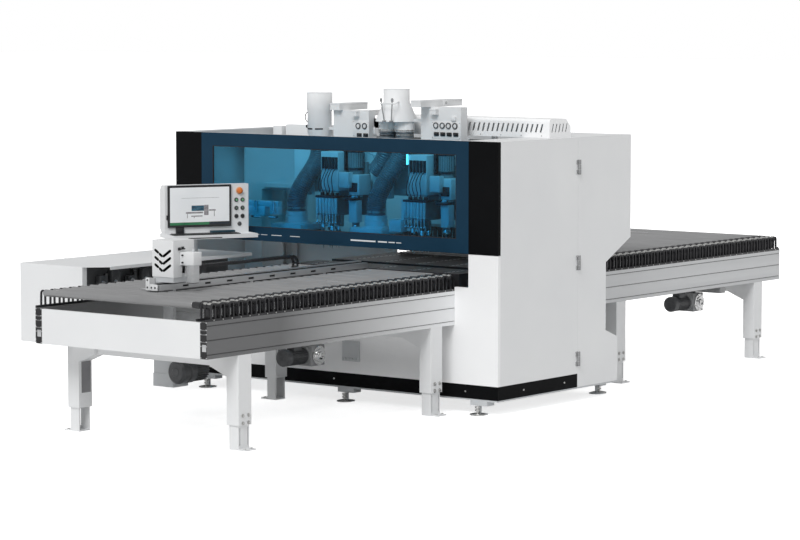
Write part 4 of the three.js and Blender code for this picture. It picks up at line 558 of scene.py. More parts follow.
beam_names = ("infeed_beam_right", "infeed_beam_left", "outfeed_beam_right", "outfeed_beam_left")
dress(anodised_painted_shade_fade, *beam_names[:2])
dress(anodised_painted_lit, *beam_names[2:])
dress(white_coat, "infeed_end_panel", "outfeed_end_panel")
slot_half = 0.006
slot_edge = 0.028
end_gap = 0.002
chamber_shares = ((0.012, 0.33), (0.35, 0.44), (0.47, 0.64), (0.67, 0.76), (0.79, 0.985))
web_shares = (0.02, 0.335, 0.455, 0.655, 0.775, 0.965)
strip_bm = bmesh.new()
lip_bm = {"infeed": bmesh.new(), "outfeed": bmesh.new()}
# Black plates over the beams' open chambers: painted shade inside the chambers.
chamber_shade_bm = bmesh.new()
web_bm = bmesh.new()
for name in beam_names:
    bed = name.split("_")[0]
    low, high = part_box(name)
    wide, tall = high.x - low.x, high.z - low.z
    y0, y1 = low.y + end_gap, high.y - end_gap
    face, inward = (high.x, -1) if name.endswith("right") else (low.x, 1)
    for z in (low.z + slot_edge, (low.z + high.z) / 2, high.z - slot_edge):
        near, far = sorted((face + inward * 0.0062, face + inward * 0.0088))
        box_into(strip_bm, (near, y0, z - slot_half + 0.0004), (far, y1, z + slot_half - 0.0004))
        near, far = sorted((face + inward * 0.0002, face + inward * 0.0064))
        for side in (-1, 1):
            edge = sorted((z + side * (slot_half - 0.0003), z + side * 0.0021))
            box_into(lip_bm[bed], (near, y0, edge[0]), (far, y1, edge[1]), 0.0004, 1)
    end, outward = (low.y, -1) if bed == "infeed" else (high.y, 1)
    y0, y1 = sorted((end, end + outward * 0.0006))
    for low_share, high_share in chamber_shares:
        box_into(
            chamber_shade_bm, (low.x + wide * 0.06, y0, low.z + tall * low_share),
            (high.x - wide * 0.06, y1, low.z + tall * high_share), 0.0003,
        )
    y0, y1 = sorted((end, end + outward * 0.0018))
    for share in web_shares:
        z = low.z + tall * share
        for x in (low.x + 0.006, high.x - 0.006):
            box_into(web_bm, (x - 0.0055, y0, z), (x + 0.0055, y1, z + 0.006), 0.0008)
    box_into(
        web_bm, (low.x + wide * 0.3, y0, low.z + tall * 0.2),
        (high.x - wide * 0.12, y1, low.z + tall * 0.39), 0.0006,
    )
finish_piece("beam_slot_strips", strip_bm, slot_shadow)
finish_piece("infeed_slot_lips", lip_bm["infeed"], anodised_painted_shade_fade)
finish_piece("outfeed_slot_lips", lip_bm["outfeed"], anodised_painted_lit)
finish_piece("beam_end_chamber_shade", chamber_shade_bm, black_rubber)
finish_piece("beam_end_webs", web_bm, bright_aluminium)

# Rollers
# Grey sleeved rollers with a narrower black sleeve at the driven end, seated
# in bearings between the brackets.
roller_pitch = 0.09
roller_radius = 0.024
roller_foot = 0.03
bracket_wide = 0.101
left_bracket = 0.028
sleeve_long = 0.074
roller_grey = surface(
    "grey_roller_sleeve", "black_plastic", (0.28, 0.282, 0.285), 0.24, (0.25, 0.252, 0.255),
    (0.31, 0.312, 0.315), 12.0, (0.18, 0.32), (420.0, 0.05, 0.0003), 0.25, (0.2, 1.0, 1.0),
)


def roller_rows(bed):
    """Heights and places of a bed's rollers, worked out from its box."""
    low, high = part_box(bed)
    count = int((high.y - low.y - roller_foot) / roller_pitch)
    first = (low.y + high.y - (count - 1) * roller_pitch) / 2
    axis_z = high.z - 0.001 - roller_radius
    return low, high, axis_z, [first + i * roller_pitch for i in range(count)]


for bed in ("infeed", "outfeed"):
    low, high, axis_z, rows = roller_rows(f"{bed}_roller_bed")
    roller_bm = bmesh.new()
    sleeve_bm = bmesh.new()
    left_end = low.x + left_bracket - 0.006
    right_end = high.x - bracket_wide
    grey_long = right_end - left_end - sleeve_long
    for y in rows:
        turned_into(roller_bm, (left_end, y, axis_z), (1, 0, 0), (
            (0.0, 0.0), (0.012, 0.0), (0.021, 0.004), (roller_radius, 0.008),
            (roller_radius, grey_long - 0.004), (0.0215, grey_long), (0.0, grey_long),
        ), 24)
        turned_into(sleeve_bm, (right_end - 0.0738, y, axis_z), (1, 0, 0), (
            (0.0, 0.0), (0.0222, 0.0), (0.0222, 0.012), (0.0236, 0.014), (0.0236, 0.066), (0.019, 0.07),
            (0.0, 0.07),
        ), 20)
    rollers = finish_piece(f"{bed}_rollers", roller_bm, roller_grey)
    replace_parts(rollers, f"{bed}_roller_bed")
    finish_piece(f"{bed}_roller_sleeves", sleeve_bm, satin_black)

# Roller brackets
# Moulded forks, two to a roller on the right beam and one on the left, with a
# bright bearing cap at the top, a spacer between the forks and a bolt at the foot.
fork_half_foot, fork_half_top, fork_wall = 0.0252, 0.0235, 0.0095
strip_high = 0.015


def arch_into(bm, x0, x1, y, z0, top):
    """An upright fork: two legs that lean in and meet in a round crown."""
    outer = [(y - fork_half_foot, z0)]
    inner = [(y - fork_half_foot + fork_wall, z0)]
    crown = top - fork_half_top
    bore = fork_half_top - fork_wall
    for i in range(9):
        angle = math.pi - i * math.pi / 8
        outer.append((y + fork_half_top * math.cos(angle), crown + fork_half_top * math.sin(angle)))
        inner.append((y + bore * math.cos(angle), crown + bore * math.sin(angle)))
    outer.append((y + fork_half_foot, z0))
    inner.append((y + fork_half_foot - fork_wall, z0))
    rows = [[bm.verts.new((x, v, z)) for v, z in line] for x in (x0, x1) for line in (outer, inner)]
    a, b, c, d = rows
    for k in range(len(outer) - 1):
        bm.faces.new((a[k], a[k + 1], b[k + 1], b[k]))
        bm.faces.new((c[k], d[k], d[k + 1], c[k + 1]))
        bm.faces.new((a[k], c[k], c[k + 1], a[k + 1]))
        bm.faces.new((b[k], b[k + 1], d[k + 1], d[k]))
    for k in (0, len(outer) - 1):
        bm.faces.new((a[k], b[k], d[k], c[k]))


for bed in ("infeed", "outfeed"):
    low, high, axis_z, rows = roller_rows(f"{bed}_roller_bed")
    y0, y1 = low.y + 0.001, high.y - 0.001
    inner_x = high.x - bracket_wide
    strip_top = low.z + strip_high
    fork_bm = bmesh.new()
    spacer_bm = bmesh.new()
    cap_bm = bmesh.new()
    forks = (
        (high.x - 0.016, high.x - 0.002), (inner_x + 0.001, inner_x + 0.013),
        (low.x + 0.001, low.x + 0.014),
    )
    for x0, x1 in forks:
        box_into(fork_bm, (x0 - 0.001, y0, low.z), (x1 + 0.001, y1, strip_top), 0.001)
    for y in rows:
        for x0, x1 in forks:
            arch_into(fork_bm, x0, x1, y, strip_top - 0.001, high.z - 0.004)
        if y == rows[-1]:
            for x0, x1 in forks:
                box_into(
                    fork_bm, (x0, y + 0.024, low.z + 0.002), (x1, min(y + 0.056, y1), strip_top + 0.012),
                    0.002,
                )
        box_into(
            spacer_bm, (high.x - 0.062, y - 0.0125, strip_top), (high.x - 0.034, y + 0.0125, axis_z - 0.02),
            0.001,
        )
        turned_into(fork_bm, (inner_x + 0.0135, y, axis_z - 0.004), (1, 0, 0), (
            (0.0, 0.0), (0.0185, 0.0), (0.0185, 0.03), (0.0135, 0.033), (0.0135, 0.046), (0.0185, 0.049),
            (0.0185, 0.0705), (0.0, 0.0705),
        ), 16)
        turned_into(cap_bm, (inner_x + 0.0132, y, high.z - 0.0125), (1, 0, 0), (
            (0.0, 0.0), (0.0095, 0.0), (0.0115, 0.002), (0.0115, 0.026), (0.0065, 0.029), (0.0065, 0.044),
            (0.0115, 0.047), (0.0115, 0.069), (0.0095, 0.0711), (0.0, 0.0711),
        ), 14)
        screw_into(cap_bm, (high.x - 0.0005, y, low.z + 0.0075), (1, 0, 0), 0.0045, 0.003, 8)
    box_into(fork_bm, (inner_x + 0.014, y0, low.z), (high.x - 0.017, y1, low.z + 0.004), 0.001)
    brackets = finish_piece(f"{bed}_roller_brackets", fork_bm, satin_black)
    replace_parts(brackets, f"{bed}_roller_bed")
    finish_piece(f"{bed}_bracket_spacers", spacer_bm, satin_black)
    finish_piece(f"{bed}_bearing_caps", cap_bm, turned_steel)

# Tables beside the drilling line
# Black air tables whose channels carry pale nozzle strips, each with a row of
# nozzles.
dress(satin_black, "front_table", "rear_table")
channel_count = 5
nozzle_pitch = 0.055
board_half, board_inset = 0.0195, 0.042
board_bm = bmesh.new()
nozzle_bm = bmesh.new()
for table in ("front_table", "rear_table"):
    low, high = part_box(table)
    for i in range(channel_count):
        x = low.x + (i + 0.5) * (high.x - low.x) / channel_count
        box_into(
            board_bm, (x - board_half, low.y + board_inset, high.z - 0.008),
            (x + board_half, high.y - board_inset, high.z - 0.0015), 0.0015,
        )
        for k in range(int((high.y - low.y - 0.1) / nozzle_pitch)):
            turned_into(nozzle_bm, (x, low.y + 0.065 + k * nozzle_pitch, high.z - 0.0018), (0, 0, 1), (
                (0.0, 0.0), (0.006, 0.0), (0.006, 0.0012), (0.003, 0.0018), (0.0, 0.0008),
            ), 10)
finish_piece("table_nozzle_strips", board_bm, bright_aluminium)
finish_piece("table_nozzles", nozzle_bm, black_rubber)

# Trestles
# White box legs with a folded gusset plate, a telescopic inner leg with long
# slots, two pairs of clamp bolts on each leg and a flat foot plate.
trestles = tuple(f"{bed}_{end}_trestle" for bed in ("infeed", "outfeed") for end in ("front", "rear"))
dress(white_coat, *trestles)
# A dark grey strip down the inner face of each trestle's left leg: painted shade and a painted dark
# reflection on that face.
leg_painted_shade_grey = surface(
    "painted_leg_shade", "grey_paint", (0.2, 0.2, 0.21), 0.55,
    (0.16, 0.16, 0.165), (0.26, 0.26, 0.27), 3.0, (0.5, 0.62),
)
leg_wide = 0.105
foot_out = 0.05
bolt_z = (0.182, 0.232)
washer_high = 0.0015
clamp_bm = bmesh.new()
washer_bm = bmesh.new()
leg_shade_bm = bmesh.new()
for name in trestles:
    low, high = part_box(name)
    left_x, right_x = low.x + foot_out, high.x - foot_out
    for face, outward in ((left_x, -1), (right_x, 1)):
        for z in bolt_z:
            for y in (low.y + 0.042, low.y + 0.1):
                turned_into(washer_bm, (face, y, z), (outward, 0, 0), (
                    (0.0, 0.0), (0.014, 0.0), (0.014, washer_high), (0.0, washer_high),
                ), 20)
                rod_into(
                    clamp_bm, (face + outward * washer_high, y, z), (face + outward * 0.0105, y, z),
                    0.0095, 6, 0.0008,
                )
        x = face + outward * 0.026
        for y in (low.y + 0.03, low.y + 0.1):
            rod_into(clamp_bm, (x, y, 0.01), (x, y, 0.0165), 0.009, 6, 0.0008)
    for z in (high.z - 0.028, high.z - 0.07):
        for x in (left_x + leg_wide + 0.05, right_x - leg_wide - 0.05):
            screw_into(clamp_bm, (x, low.y + 0.0352, z), (0, -1, 0), 0.008, 0.006)
    # Painted shade strip on the left leg's inner face.
    x = left_x + leg_wide
    box_into(
        leg_shade_bm, (x - 0.001, low.y + 0.026, 0.27), (x + 0.0008, low.y + 0.118, high.z - 0.15), 0.0006, 1,
    )
finish_piece("leg_painted_shade_strips", leg_shade_bm, leg_painted_shade_grey)
finish_piece("leg_clamp_washers", washer_bm, turned_steel)
finish_piece("leg_clamp_bolts", clamp_bm, turned_steel)

# Drives under the beds
# Gear motors: ribbed motor with a domed fan cover and terminal box, a square
# gear case and a bright output flange, hung from a rail between the beams.
motor_grey = surface(
    "dark_motor_paint", "black_plastic", (0.075, 0.078, 0.082), 0.34,
    (0.065, 0.068, 0.072), (0.095, 0.098, 0.102), 22.0, (0.28, 0.42), (320.0, 0.12, 0.0004),
)
gear_grey = surface(
    "gear_case_paint", "grey_paint", (0.26, 0.265, 0.27), 0.4,
    (0.24, 0.245, 0.25), (0.30, 0.305, 0.31), 16.0, (0.32, 0.46), (240.0, 0.12, 0.0004),
)
chrome = surface(
    "polished_chrome", "bare_aluminium", (0.78, 0.78, 0.78), 0.1,
    (0.74, 0.74, 0.74), (0.8, 0.8, 0.8), 30.0, (0.07, 0.14), metallic=1.0,
)
motor_long = 0.25
motor_radius = 0.062
gear_half = 0.075
flange_high = 0.013


def block_into(bm, place, size):
    """A sharp block round a place, which may be turned."""
    bmesh.ops.create_cube(bm, size=1.0, matrix=place @ Matrix.Diagonal((*size, 1.0)))


def turns(count, start=0.0):
    """Angles evenly spaced round a full turn."""
    return [2 * math.pi * (i + start) / count for i in range(count)]


def fins_into(bm, centre, axis, angles, radius, size):
    """Sharp plates standing out from an axis."""
    for angle in angles:
        place = Matrix.Translation(centre) @ Matrix.Rotation(angle, 4, axis)
        block_into(bm, place @ Matrix.Translation((radius, 0.0, 0.0)), size)


for bed in ("infeed", "outfeed"):
    low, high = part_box(f"{bed}_gear_motor")
    x = high.x - 0.11 if bed == "infeed" else low.x + 0.11
    z = low.z + gear_half
    y = low.y
    block_y = y + motor_long
    motor_bm = bmesh.new()
    turned_into(motor_bm, (x, y, z), (0, 1, 0), (
        (0.0, 0.0), (0.018, 0.0), (0.019, 0.002), (0.052, 0.003), (0.059, 0.007), (motor_radius, 0.014),
        (motor_radius, 0.058), (0.0605, 0.06), (0.054, 0.06), (0.054, 0.244), (0.0, 0.244),
    ), 40)
    clear_turns = [a for a in turns(30) if abs(math.cos(a)) >= 0.22 or math.sin(a) <= 0]
    fins_into(motor_bm, (x, y + 0.15, z), "Y", clear_turns, 0.0565, (0.009, 0.165, 0.0022))
    box_into(motor_bm, (x - 0.036, y + 0.1, z + 0.045), (x + 0.036, y + 0.19, z + 0.0835), 0.004, 3)
    for radius in (0.03, 0.042):
        for angle in turns(12):
            hole = (x + radius * math.cos(angle), y + 0.0035, z + radius * math.sin(angle))
            turned_into(motor_bm, hole, (0, -1, 0), (
                (0.0028, 0.0), (0.0034, 0.0012), (0.0048, 0.0012), (0.0054, 0.0), (0.0028, 0.0),
            ), 8)
    motor = finish_piece(f"{bed}_drive_motor", motor_bm, motor_grey, slot="grey_paint")
    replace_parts(motor, f"{bed}_gear_motor")
    case_bm = bmesh.new()
    box_into(
        case_bm, (x - gear_half, block_y, z - gear_half),
        (x + gear_half, block_y + 2 * gear_half, z + gear_half),
        0.006, 3,
    )
    rail_foot = high.z - 0.05
    rail_x = (low.x, x + gear_half) if bed == "infeed" else (x - gear_half, high.x)
    rail_y = (block_y + 0.0375, block_y + 0.1125)
    box_into(case_bm, (rail_x[0], rail_y[0], rail_foot), (rail_x[1], rail_y[1], high.z), 0.003)
    box_into(
        case_bm, (x - 0.025, rail_y[0], z + gear_half - 0.002), (x + 0.025, rail_y[1], rail_foot + 0.002),
        0.002,
    )
    turned_into(case_bm, (x, block_y - 0.012, z), (0, 1, 0), (
        (0.0, 0.0), (0.068, 0.0), (0.07, 0.002), (0.07, 0.0125), (0.0, 0.0125),
    ), 32)
    finish_piece(f"{bed}_gear_case", case_bm, gear_grey, slot="cast_grey")
    flange_bm = bmesh.new()
    bolt_bm = bmesh.new()
    for outward in (-1, 1):
        face = Vector((x + outward * gear_half, block_y + gear_half, z))
        turned_into(flange_bm, face, (outward, 0, 0), (
            (0.0, 0.0), (0.07, 0.0), (0.07, 0.011), (0.068, flange_high), (0.05, flange_high),
            (0.046, 0.022),
            (0.03, 0.022), (0.028, 0.033), (0.02, 0.034), (0.02, 0.026), (0.0, 0.026),
        ), 40)
        for angle in turns(8, 0.5):
            at = face + Vector((outward * flange_high, 0.06 * math.cos(angle), 0.06 * math.sin(angle)))
            screw_into(bolt_bm, at, (outward, 0, 0), 0.0045, 0.004, 8)
    finish_piece(f"{bed}_drive_flange", flange_bm, chrome)
    finish_piece(f"{bed}_flange_bolts", bolt_bm, turned_steel)

# Vacuum pump
# A dark side channel pump with a ribbed casing, hung beside a pale sheet metal
# stand that comes down from the infeed's left beam.
pump_low, pump_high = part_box("vacuum_pump")
pump_radius = 0.085
pump_x = pump_high.x - pump_radius
pump_y = pump_low.y
pump_z = 0.343
stand_y = (pump_y + 0.1, pump_y + 0.26)
stand_x = (pump_low.x, pump_low.x + 0.197)
stand_step = 0.312
pump_bm = bmesh.new()
turned_into(pump_bm, (pump_x, pump_y, pump_z), (0, 1, 0), (
    (0.0, 0.0), (0.03, 0.0), (0.034, 0.004), (0.066, 0.004), (0.076, 0.012), (pump_radius, 0.022),
    (pump_radius, 0.075), (0.079, 0.08), (0.079, 0.088), (pump_radius, 0.092), (pump_radius, 0.15),
    (0.07, 0.158), (0.07, 0.285), (0.058, 0.3), (0.0, 0.3),
), 44)
fins_into(pump_bm, (pump_x, pump_y + 0.222, pump_z), "Y", turns(26), 0.0745, (0.012, 0.12, 0.0026))
box_into(
    pump_bm, (pump_x - 0.055, stand_y[0], pump_z - 0.045), (pump_x - 0.11, stand_y[1], pump_z + 0.045),
    0.004,
)
pump_body = finish_piece("pump_body", pump_bm, motor_grey, slot="black_paint")
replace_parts(pump_body, "vacuum_pump")
stand_bm = bmesh.new()
box_into(
    stand_bm, (stand_x[0] + 0.004, stand_y[0] + 0.004, stand_step),
    (stand_x[1] - 0.004, stand_y[1] - 0.004, pump_high.z), 0.002,
)
box_into(stand_bm, (stand_x[0], stand_y[0], pump_low.z), (stand_x[1], stand_y[1], stand_step), 0.003)
box_into(
    stand_bm, (stand_x[1] - 0.006, stand_y[0] + 0.02, pump_z - 0.04),
    (pump_x - 0.08, stand_y[1] - 0.02, pump_z + 0.04), 0.002,
)
finish_piece("pump_stand", stand_bm, grey_coat)

# Long housing
# Sheet metal housing left of the infeed. Its open side shows an inner wall in panels, dark grey as painted
# shade inside the housing, with the suction drive's units on a rail before it.
dress(white_coat, "left_housing")
# Dark grey sheet standing for the shade inside openings: painted shade.
painted_shade_sheet = surface(
    "painted_shade_inner_sheet", "grey_paint", (0.085, 0.087, 0.09), 0.42,
    (0.075, 0.077, 0.08), (0.11, 0.112, 0.115), 5.0, (0.34, 0.5), (300.0, 0.08, 0.0004),
)
house_low, house_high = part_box("left_housing")
open_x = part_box("infeed_beam_left")[0].x - 0.505
panel_count = 6
inner_start, inner_end = house_low.y + 0.06, house_high.y - 0.02
panel_long = (inner_end - inner_start) / panel_count
units = ((0.08, 0.09), (0.16, 0.12), (0.27, 0.07), (0.36, 0.11), (0.47, 0.08))
inner_shade_bm = bmesh.new()
for i in range(panel_count):
    y = inner_start + i * panel_long
    deep = 0.02 if i % 2 else 0.0
    box_into(
        inner_shade_bm, (open_x - 0.075 - deep, y + 0.002, 0.5),
        (open_x - 0.06 - deep, y + panel_long - 0.002, 1.058),
        0.001,
    )
finish_piece("housing_inner_wall_shade", inner_shade_bm, painted_shade_sheet)
drive_bm = bmesh.new()
rail_bm = bmesh.new()
for share, tall in units:
    y = inner_start + share * (inner_end - inner_start)
    box_into(drive_bm, (open_x - 0.05, y, 0.9), (open_x - 0.008, y + 0.075, 0.9 + tall), 0.004)
    rod_into(drive_bm, (open_x - 0.03, y + 0.09, 0.91), (open_x - 0.03, y + 0.09, 1.0), 0.014, 16, 0.002)
    turned_into(rail_bm, (open_x - 0.008, y + 0.037, 0.93), (1, 0, 0), (
        (0.0, 0.0), (0.02, 0.0), (0.02, 0.004), (0.008, 0.006), (0.0, 0.006),
    ), 20)
box_into(
    rail_bm, (open_x - 0.05, inner_start + 0.02, 0.886), (open_x - 0.01, inner_end - 0.02, 0.899), 0.002,
)
finish_piece("suction_drive_units", drive_bm, motor_grey)
finish_piece("suction_drive_rail", rail_bm, bright_aluminium)
edge_bm = bmesh.new()
for i in range(7):
    y = house_low.y + 0.2 + i * 0.24
    screw_into(edge_bm, (house_low.x + 0.03, y, house_high.z), (0, 0, 1), 0.005, 0.002)
finish_piece("housing_screws", edge_bm, turned_steel)

# Fence
# Pale extruded beam with dark pockets on its flank, a bright guide rail and a
# black toothed belt on top, and an end plate screwed to its front.
dress(bright_aluminium, "fence_beam")
fence_low, fence_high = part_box("fence_beam")
fence_left, fence_right = 0.2385, 0.3485
fence_bottom, fence_top = 1.012, 1.05
fence_front = fence_low.y + 0.01
pocket_pitch = 0.23
tooth_pitch, tooth_count = 0.01, 220
belt_x = (fence_left + 0.058, fence_left + 0.076)
pocket_bm = bmesh.new()
for i in range(int((fence_high.y - fence_front) / pocket_pitch) - 1):
    y = fence_front + (i + 1) * pocket_pitch
    box_into(
        pocket_bm, (fence_right - 0.0098, y + 0.0008, 1.0248), (fence_right - 0.006, y + 0.0592, 1.0372),
        0.0004,
    )
box_into(
    pocket_bm, (belt_x[0], fence_front + 0.02, fence_top),
    (belt_x[1], fence_high.y - 0.02, fence_top + 0.004),
    0.0005,
)
for i in range(tooth_count):
    y = fence_front + 0.024 + i * tooth_pitch
    box_into(
        pocket_bm, (belt_x[0] + 0.001, y, fence_top + 0.0038),
        (belt_x[1] - 0.001, y + 0.005, fence_top + 0.0058),
    )
finish_piece("fence_belt_and_pockets", pocket_bm, black_rubber)
plate_face = fence_low.y - 0.006
plate_bm = bmesh.new()
for x0, x1, top in ((-0.0095, 0.024, fence_top + 0.0475), (0.026, 0.0975, fence_bottom + 0.042)):
    box_into(
        plate_bm, (fence_left + x0, plate_face, fence_bottom), (fence_left + x1, fence_low.y, top), 0.002,
    )
finish_piece("fence_end_plates", plate_bm, white_coat)
plate_screw_bm = bmesh.new()
for x, z in ((0.008, 0.02), (0.008, 0.07), (0.045, 0.02), (0.078, 0.02)):
    screw_into(plate_screw_bm, (fence_left + x, plate_face, fence_bottom + z), (0, -1, 0), 0.0065, 0.004)
finish_piece("fence_end_screws", plate_screw_bm, black_rubber)

# Gripper
# White cover with chevron vents, the clamp cylinder beside it with its ports
# and plugs, and a jaw with a rubber pad.
dress(white_coat, "gripper_cover")
dress(grey_coat, "gripper_carriage")
dress(bright_aluminium, "gripper_jaw")
cover_low, cover_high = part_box("gripper_cover")
cover_right = cover_high.x
cylinder_half = 0.0395
cylinder_y = (cover_low.y + cover_high.y) / 2
cylinder_front = cylinder_y - cylinder_half - 0.003
clamp_white_bm = bmesh.new()
box_into(
    clamp_white_bm, (cover_right + 0.002, cylinder_front, 1.184),
    (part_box("gripper_carriage")[1].x + 0.0015, cylinder_y + cylinder_half + 0.003, 1.272), 0.004, 3,
)
finish_piece("clamp_cylinder_cover", clamp_white_bm, white_coat, "gripper")
clamp_dark_bm = bmesh.new()
for i in range(2):
    y = cover_low.y + 0.045 + i * 0.034
    box_into(
        clamp_dark_bm, (cover_right, y, 1.282 + i * 0.004),
        (cover_right + 0.012, y + 0.02, 1.302 + i * 0.004), 0.003,
    )
    rod_into(
        clamp_dark_bm, (cover_right + 0.012, y + 0.01, 1.292), (cover_right + 0.026, y + 0.01, 1.292),
        0.005, 12, 0.001,
    )
x = cover_right + 0.031
for z in (1.2, 1.25):
    rod_into(clamp_dark_bm, (x, cylinder_front, z), (x, cylinder_front - 0.012, z), 0.006, 14, 0.001)
finish_piece("gripper_plugs", clamp_dark_bm, satin_black, "gripper")
jaw_low, jaw_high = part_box("gripper_jaw")
pad_bm = bmesh.new()
box_into(
    pad_bm, (jaw_low.x + 0.004, jaw_low.y + 0.003, jaw_low.z - 0.004),
    (jaw_high.x - 0.003, jaw_high.y - 0.003, jaw_low.z), 0.001,
)
finish_piece("jaw_pad", pad_bm, black_rubber, "gripper_jaw")
jaw_screw_bm = bmesh.new()
for z in (1.115, 1.15):
    for x in (jaw_high.x - 0.014, jaw_high.x - 0.042):
        screw_into(jaw_screw_bm, (x, jaw_low.y, z), (0, -1, 0), 0.0045, 0.0035)
finish_piece("jaw_screws", jaw_screw_bm, turned_steel, "gripper_jaw")
chain_arm = 0.047  # the cover's box takes in an arm on its left
vent_middle = (cover_low.x + chain_arm + cover_high.x) / 2
vent_arms = ((-1, 0.0, 0.3), (-1, 0.62, 1.0), (1, 0.0, 1.0))
vent_half = 0.0092
vent_pitch = 0.05
# The vents are dark grey chevrons laid on the cover: painted shade in the vent openings.
vent_shade_bm = bmesh.new()
for i in range(3):
    for hand, start, end in vent_arms:
        near = Vector((
            vent_middle + hand * 0.009, cover_low.y - 0.0006, cover_low.z + vent_pitch * (i + 1) - 0.006,
        ))
        far = near + Vector((hand * 0.058, 0.0, 0.038))
        a, b = near.lerp(far, start), near.lerp(far, end)
        along = (b - a).normalized()
        across = Vector((-(b - a).z, 0.0, (b - a).x)).normalized() * vent_half
        corners = []
        for middle, turn in ((a, 0.5), (b, -0.5)):
            for k in range(7):
                angle = math.pi * (turn + k / 6)
                corners.append(middle + along * vent_half * math.cos(angle) + across * math.sin(angle))
        vent_shade_bm.faces.new([vent_shade_bm.verts.new(corner) for corner in corners])
bmesh.ops.solidify(vent_shade_bm, geom=vent_shade_bm.faces[:], thickness=0.0006)
finish_piece("vent_painted_shade", vent_shade_bm, painted_shade_sheet, "gripper", "black_plastic")

# Cable chain of the gripper
# Separate links of two side plates and two cross bars, along the lower run,
# round the bend and back along the upper run.
chain_low, chain_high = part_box("gripper_cable_chain")
chain_middle = (chain_low.x + chain_high.x) / 2
chain_half = 0.012
bend_radius = (chain_high.z - chain_low.z) / 2 - chain_half
bend_long = math.pi * bend_radius
bend_y = chain_high.y - bend_radius - chain_half
bend_z = (chain_low.z + chain_high.z) / 2
lower_run = 0.56
link_pitch = 0.03
link_count = int((lower_run + bend_long + bend_y - chain_low.y) / link_pitch)
plate_half = 0.0015


def chain_place(distance):
    """Height, length along the feed and slope of the chain, from its fixed end."""
    if distance <= lower_run:
        return bend_y - lower_run + distance, bend_z - bend_radius, 0.0
    distance -= lower_run
    if distance <= bend_long:
        angle = distance / bend_radius
        return bend_y + bend_radius * math.sin(angle), bend_z - bend_radius * math.cos(angle), angle
    return bend_y - (distance - bend_long), bend_z + bend_radius, math.pi


link_bm = bmesh.new()
pin_bm = bmesh.new()
for i in range(link_count):
    y, z, angle = chain_place((i + 0.5) * link_pitch)
    turn = Matrix.Translation((0, y, z)) @ Matrix.Rotation(angle, 4, "X")
    nudge = plate_half if i % 2 else 0.0
    for x, side in ((chain_low.x + plate_half + nudge, -1), (chain_high.x - plate_half - nudge, 1)):
        block_into(
            link_bm, turn @ Matrix.Translation((x, 0, 0)), (2 * plate_half, link_pitch * 1.12, 0.0225),
        )
        centre = turn @ Vector((x + side * plate_half, link_pitch * 0.5, 0))
        rod_into(pin_bm, centre, centre + Vector((side * plate_half, 0, 0)), 0.0055, 10)
    for z in (-0.0095, 0.0095):
        place = turn @ Matrix.Translation((chain_middle, 0, z))
        block_into(link_bm, place, (chain_high.x - chain_low.x - 0.004, 0.011, 0.0035))
links = finish_piece("cable_chain_links", link_bm, satin_black, "gripper_chain")
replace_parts(links, "gripper_cable_chain")
finish_piece("cable_chain_pins", pin_bm, black_rubber, "gripper_chain")

# Chain cover and roof fittings
# White slotted cover over the heads' cable chain with screwed rims, and a low
# trough for cables at the rear of the beam's top, clear of both heads.
# A lighter, painted lit copy of the white coat, for the chain cover and the ducts.
bright_white = powder_coat("bright_white_coat", "white_paint", (0.95, 0.955, 0.96), (0.92, 0.925, 0.93))
dress(bright_white, "cable_chain_cover")
roof_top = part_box("roof_panel")[1].z
beam_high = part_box("gantry_beam")[1]
rim_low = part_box("cable_chain_cover")[0]
trough_front = -0.034
fitting_bm = bmesh.new()
for x0, x1, tall in ((-1.21, -0.76, 0.034), (-1.34, -1.25, 0.02)):
    box_into(fitting_bm, (x0, trough_front, beam_high.z), (x1, beam_high.y - 0.002, roof_top + tall), 0.004)
finish_piece("roof_cable_cover", fitting_bm, white_coat)
cover_screw_bm = bmesh.new()
for i in range(9):
    x = rim_low.x + 0.05 + i * 0.185
    screw_into(cover_screw_bm, (x, rim_low.y, roof_top + 0.014), (0, -1, 0), 0.0045, 0.002, 8)
finish_piece("chain_cover_screws", cover_screw_bm, turned_steel)

# Extraction ducts
# Smooth rolled ducts in place of the faceted ones: head 1 with a slip joint and
# a spigot, head 2 spreading into a cone with two outlets and their hose ends.
duct_radius, duct_low_radius = 0.1, 0.094
duct_wall = 0.004
spigot_bore = 0.0595
outlet_radius, outlet_offset = 0.075, 0.077
hood_radius = 0.159


def rolled_duct(head, profile):
    """A rolled sheet duct, open through its whole height, for a faceted one."""
    middle = middle_of(f"{head}_duct")
    bm = bmesh.new()
    turned_into(bm, (middle.x, middle.y, 0.0), (0, 0, 1), profile, 56)
    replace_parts(finish_piece(f"{head}_rolled_duct", bm, bright_white, head, sharp=40.0), f"{head}_duct")


def line_into(bm, points, radius):
    """A thin tube along a line of points."""
    for a, b in zip(points, points[1:]):
        rod_into(bm, a, b, radius, 8)


low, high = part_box("head_1_duct")
at = middle_of("head_1_duct")
step = high.z - 0.132
bore, low_bore = duct_radius - duct_wall, duct_low_radius - duct_wall
rolled_duct("head_1", (
    (duct_radius, high.z), (bore, high.z), (bore, step - 0.01), (low_bore, step - 0.02),
    (low_bore, low.z + 0.062), (spigot_bore, low.z + 0.002), (spigot_bore, low.z), (0.069, low.z),
    (0.0705, low.z + 0.03), (duct_low_radius, low.z + 0.06), (duct_low_radius, step - 0.012),
    (duct_radius, step - 0.002), (duct_radius, high.z - 0.004), (duct_radius + 0.002, high.z - 0.002),
    (duct_radius, high.z),
))
dark_port_bm = bmesh.new()
for angle in (-0.28, 0.62):
    for k in range(5):
        place = (
            Matrix.Translation((at.x, at.y, roof_top + 0.026))
            @ Matrix.Rotation(angle + (k - 2) * 0.13, 4, "Z")
            @ Matrix.Translation((0.0, -duct_low_radius, 0.0))
        )
        block_into(dark_port_bm, place, (0.0126, 0.003, 0.011))
lead_y = at.y - 0.01
loop = []
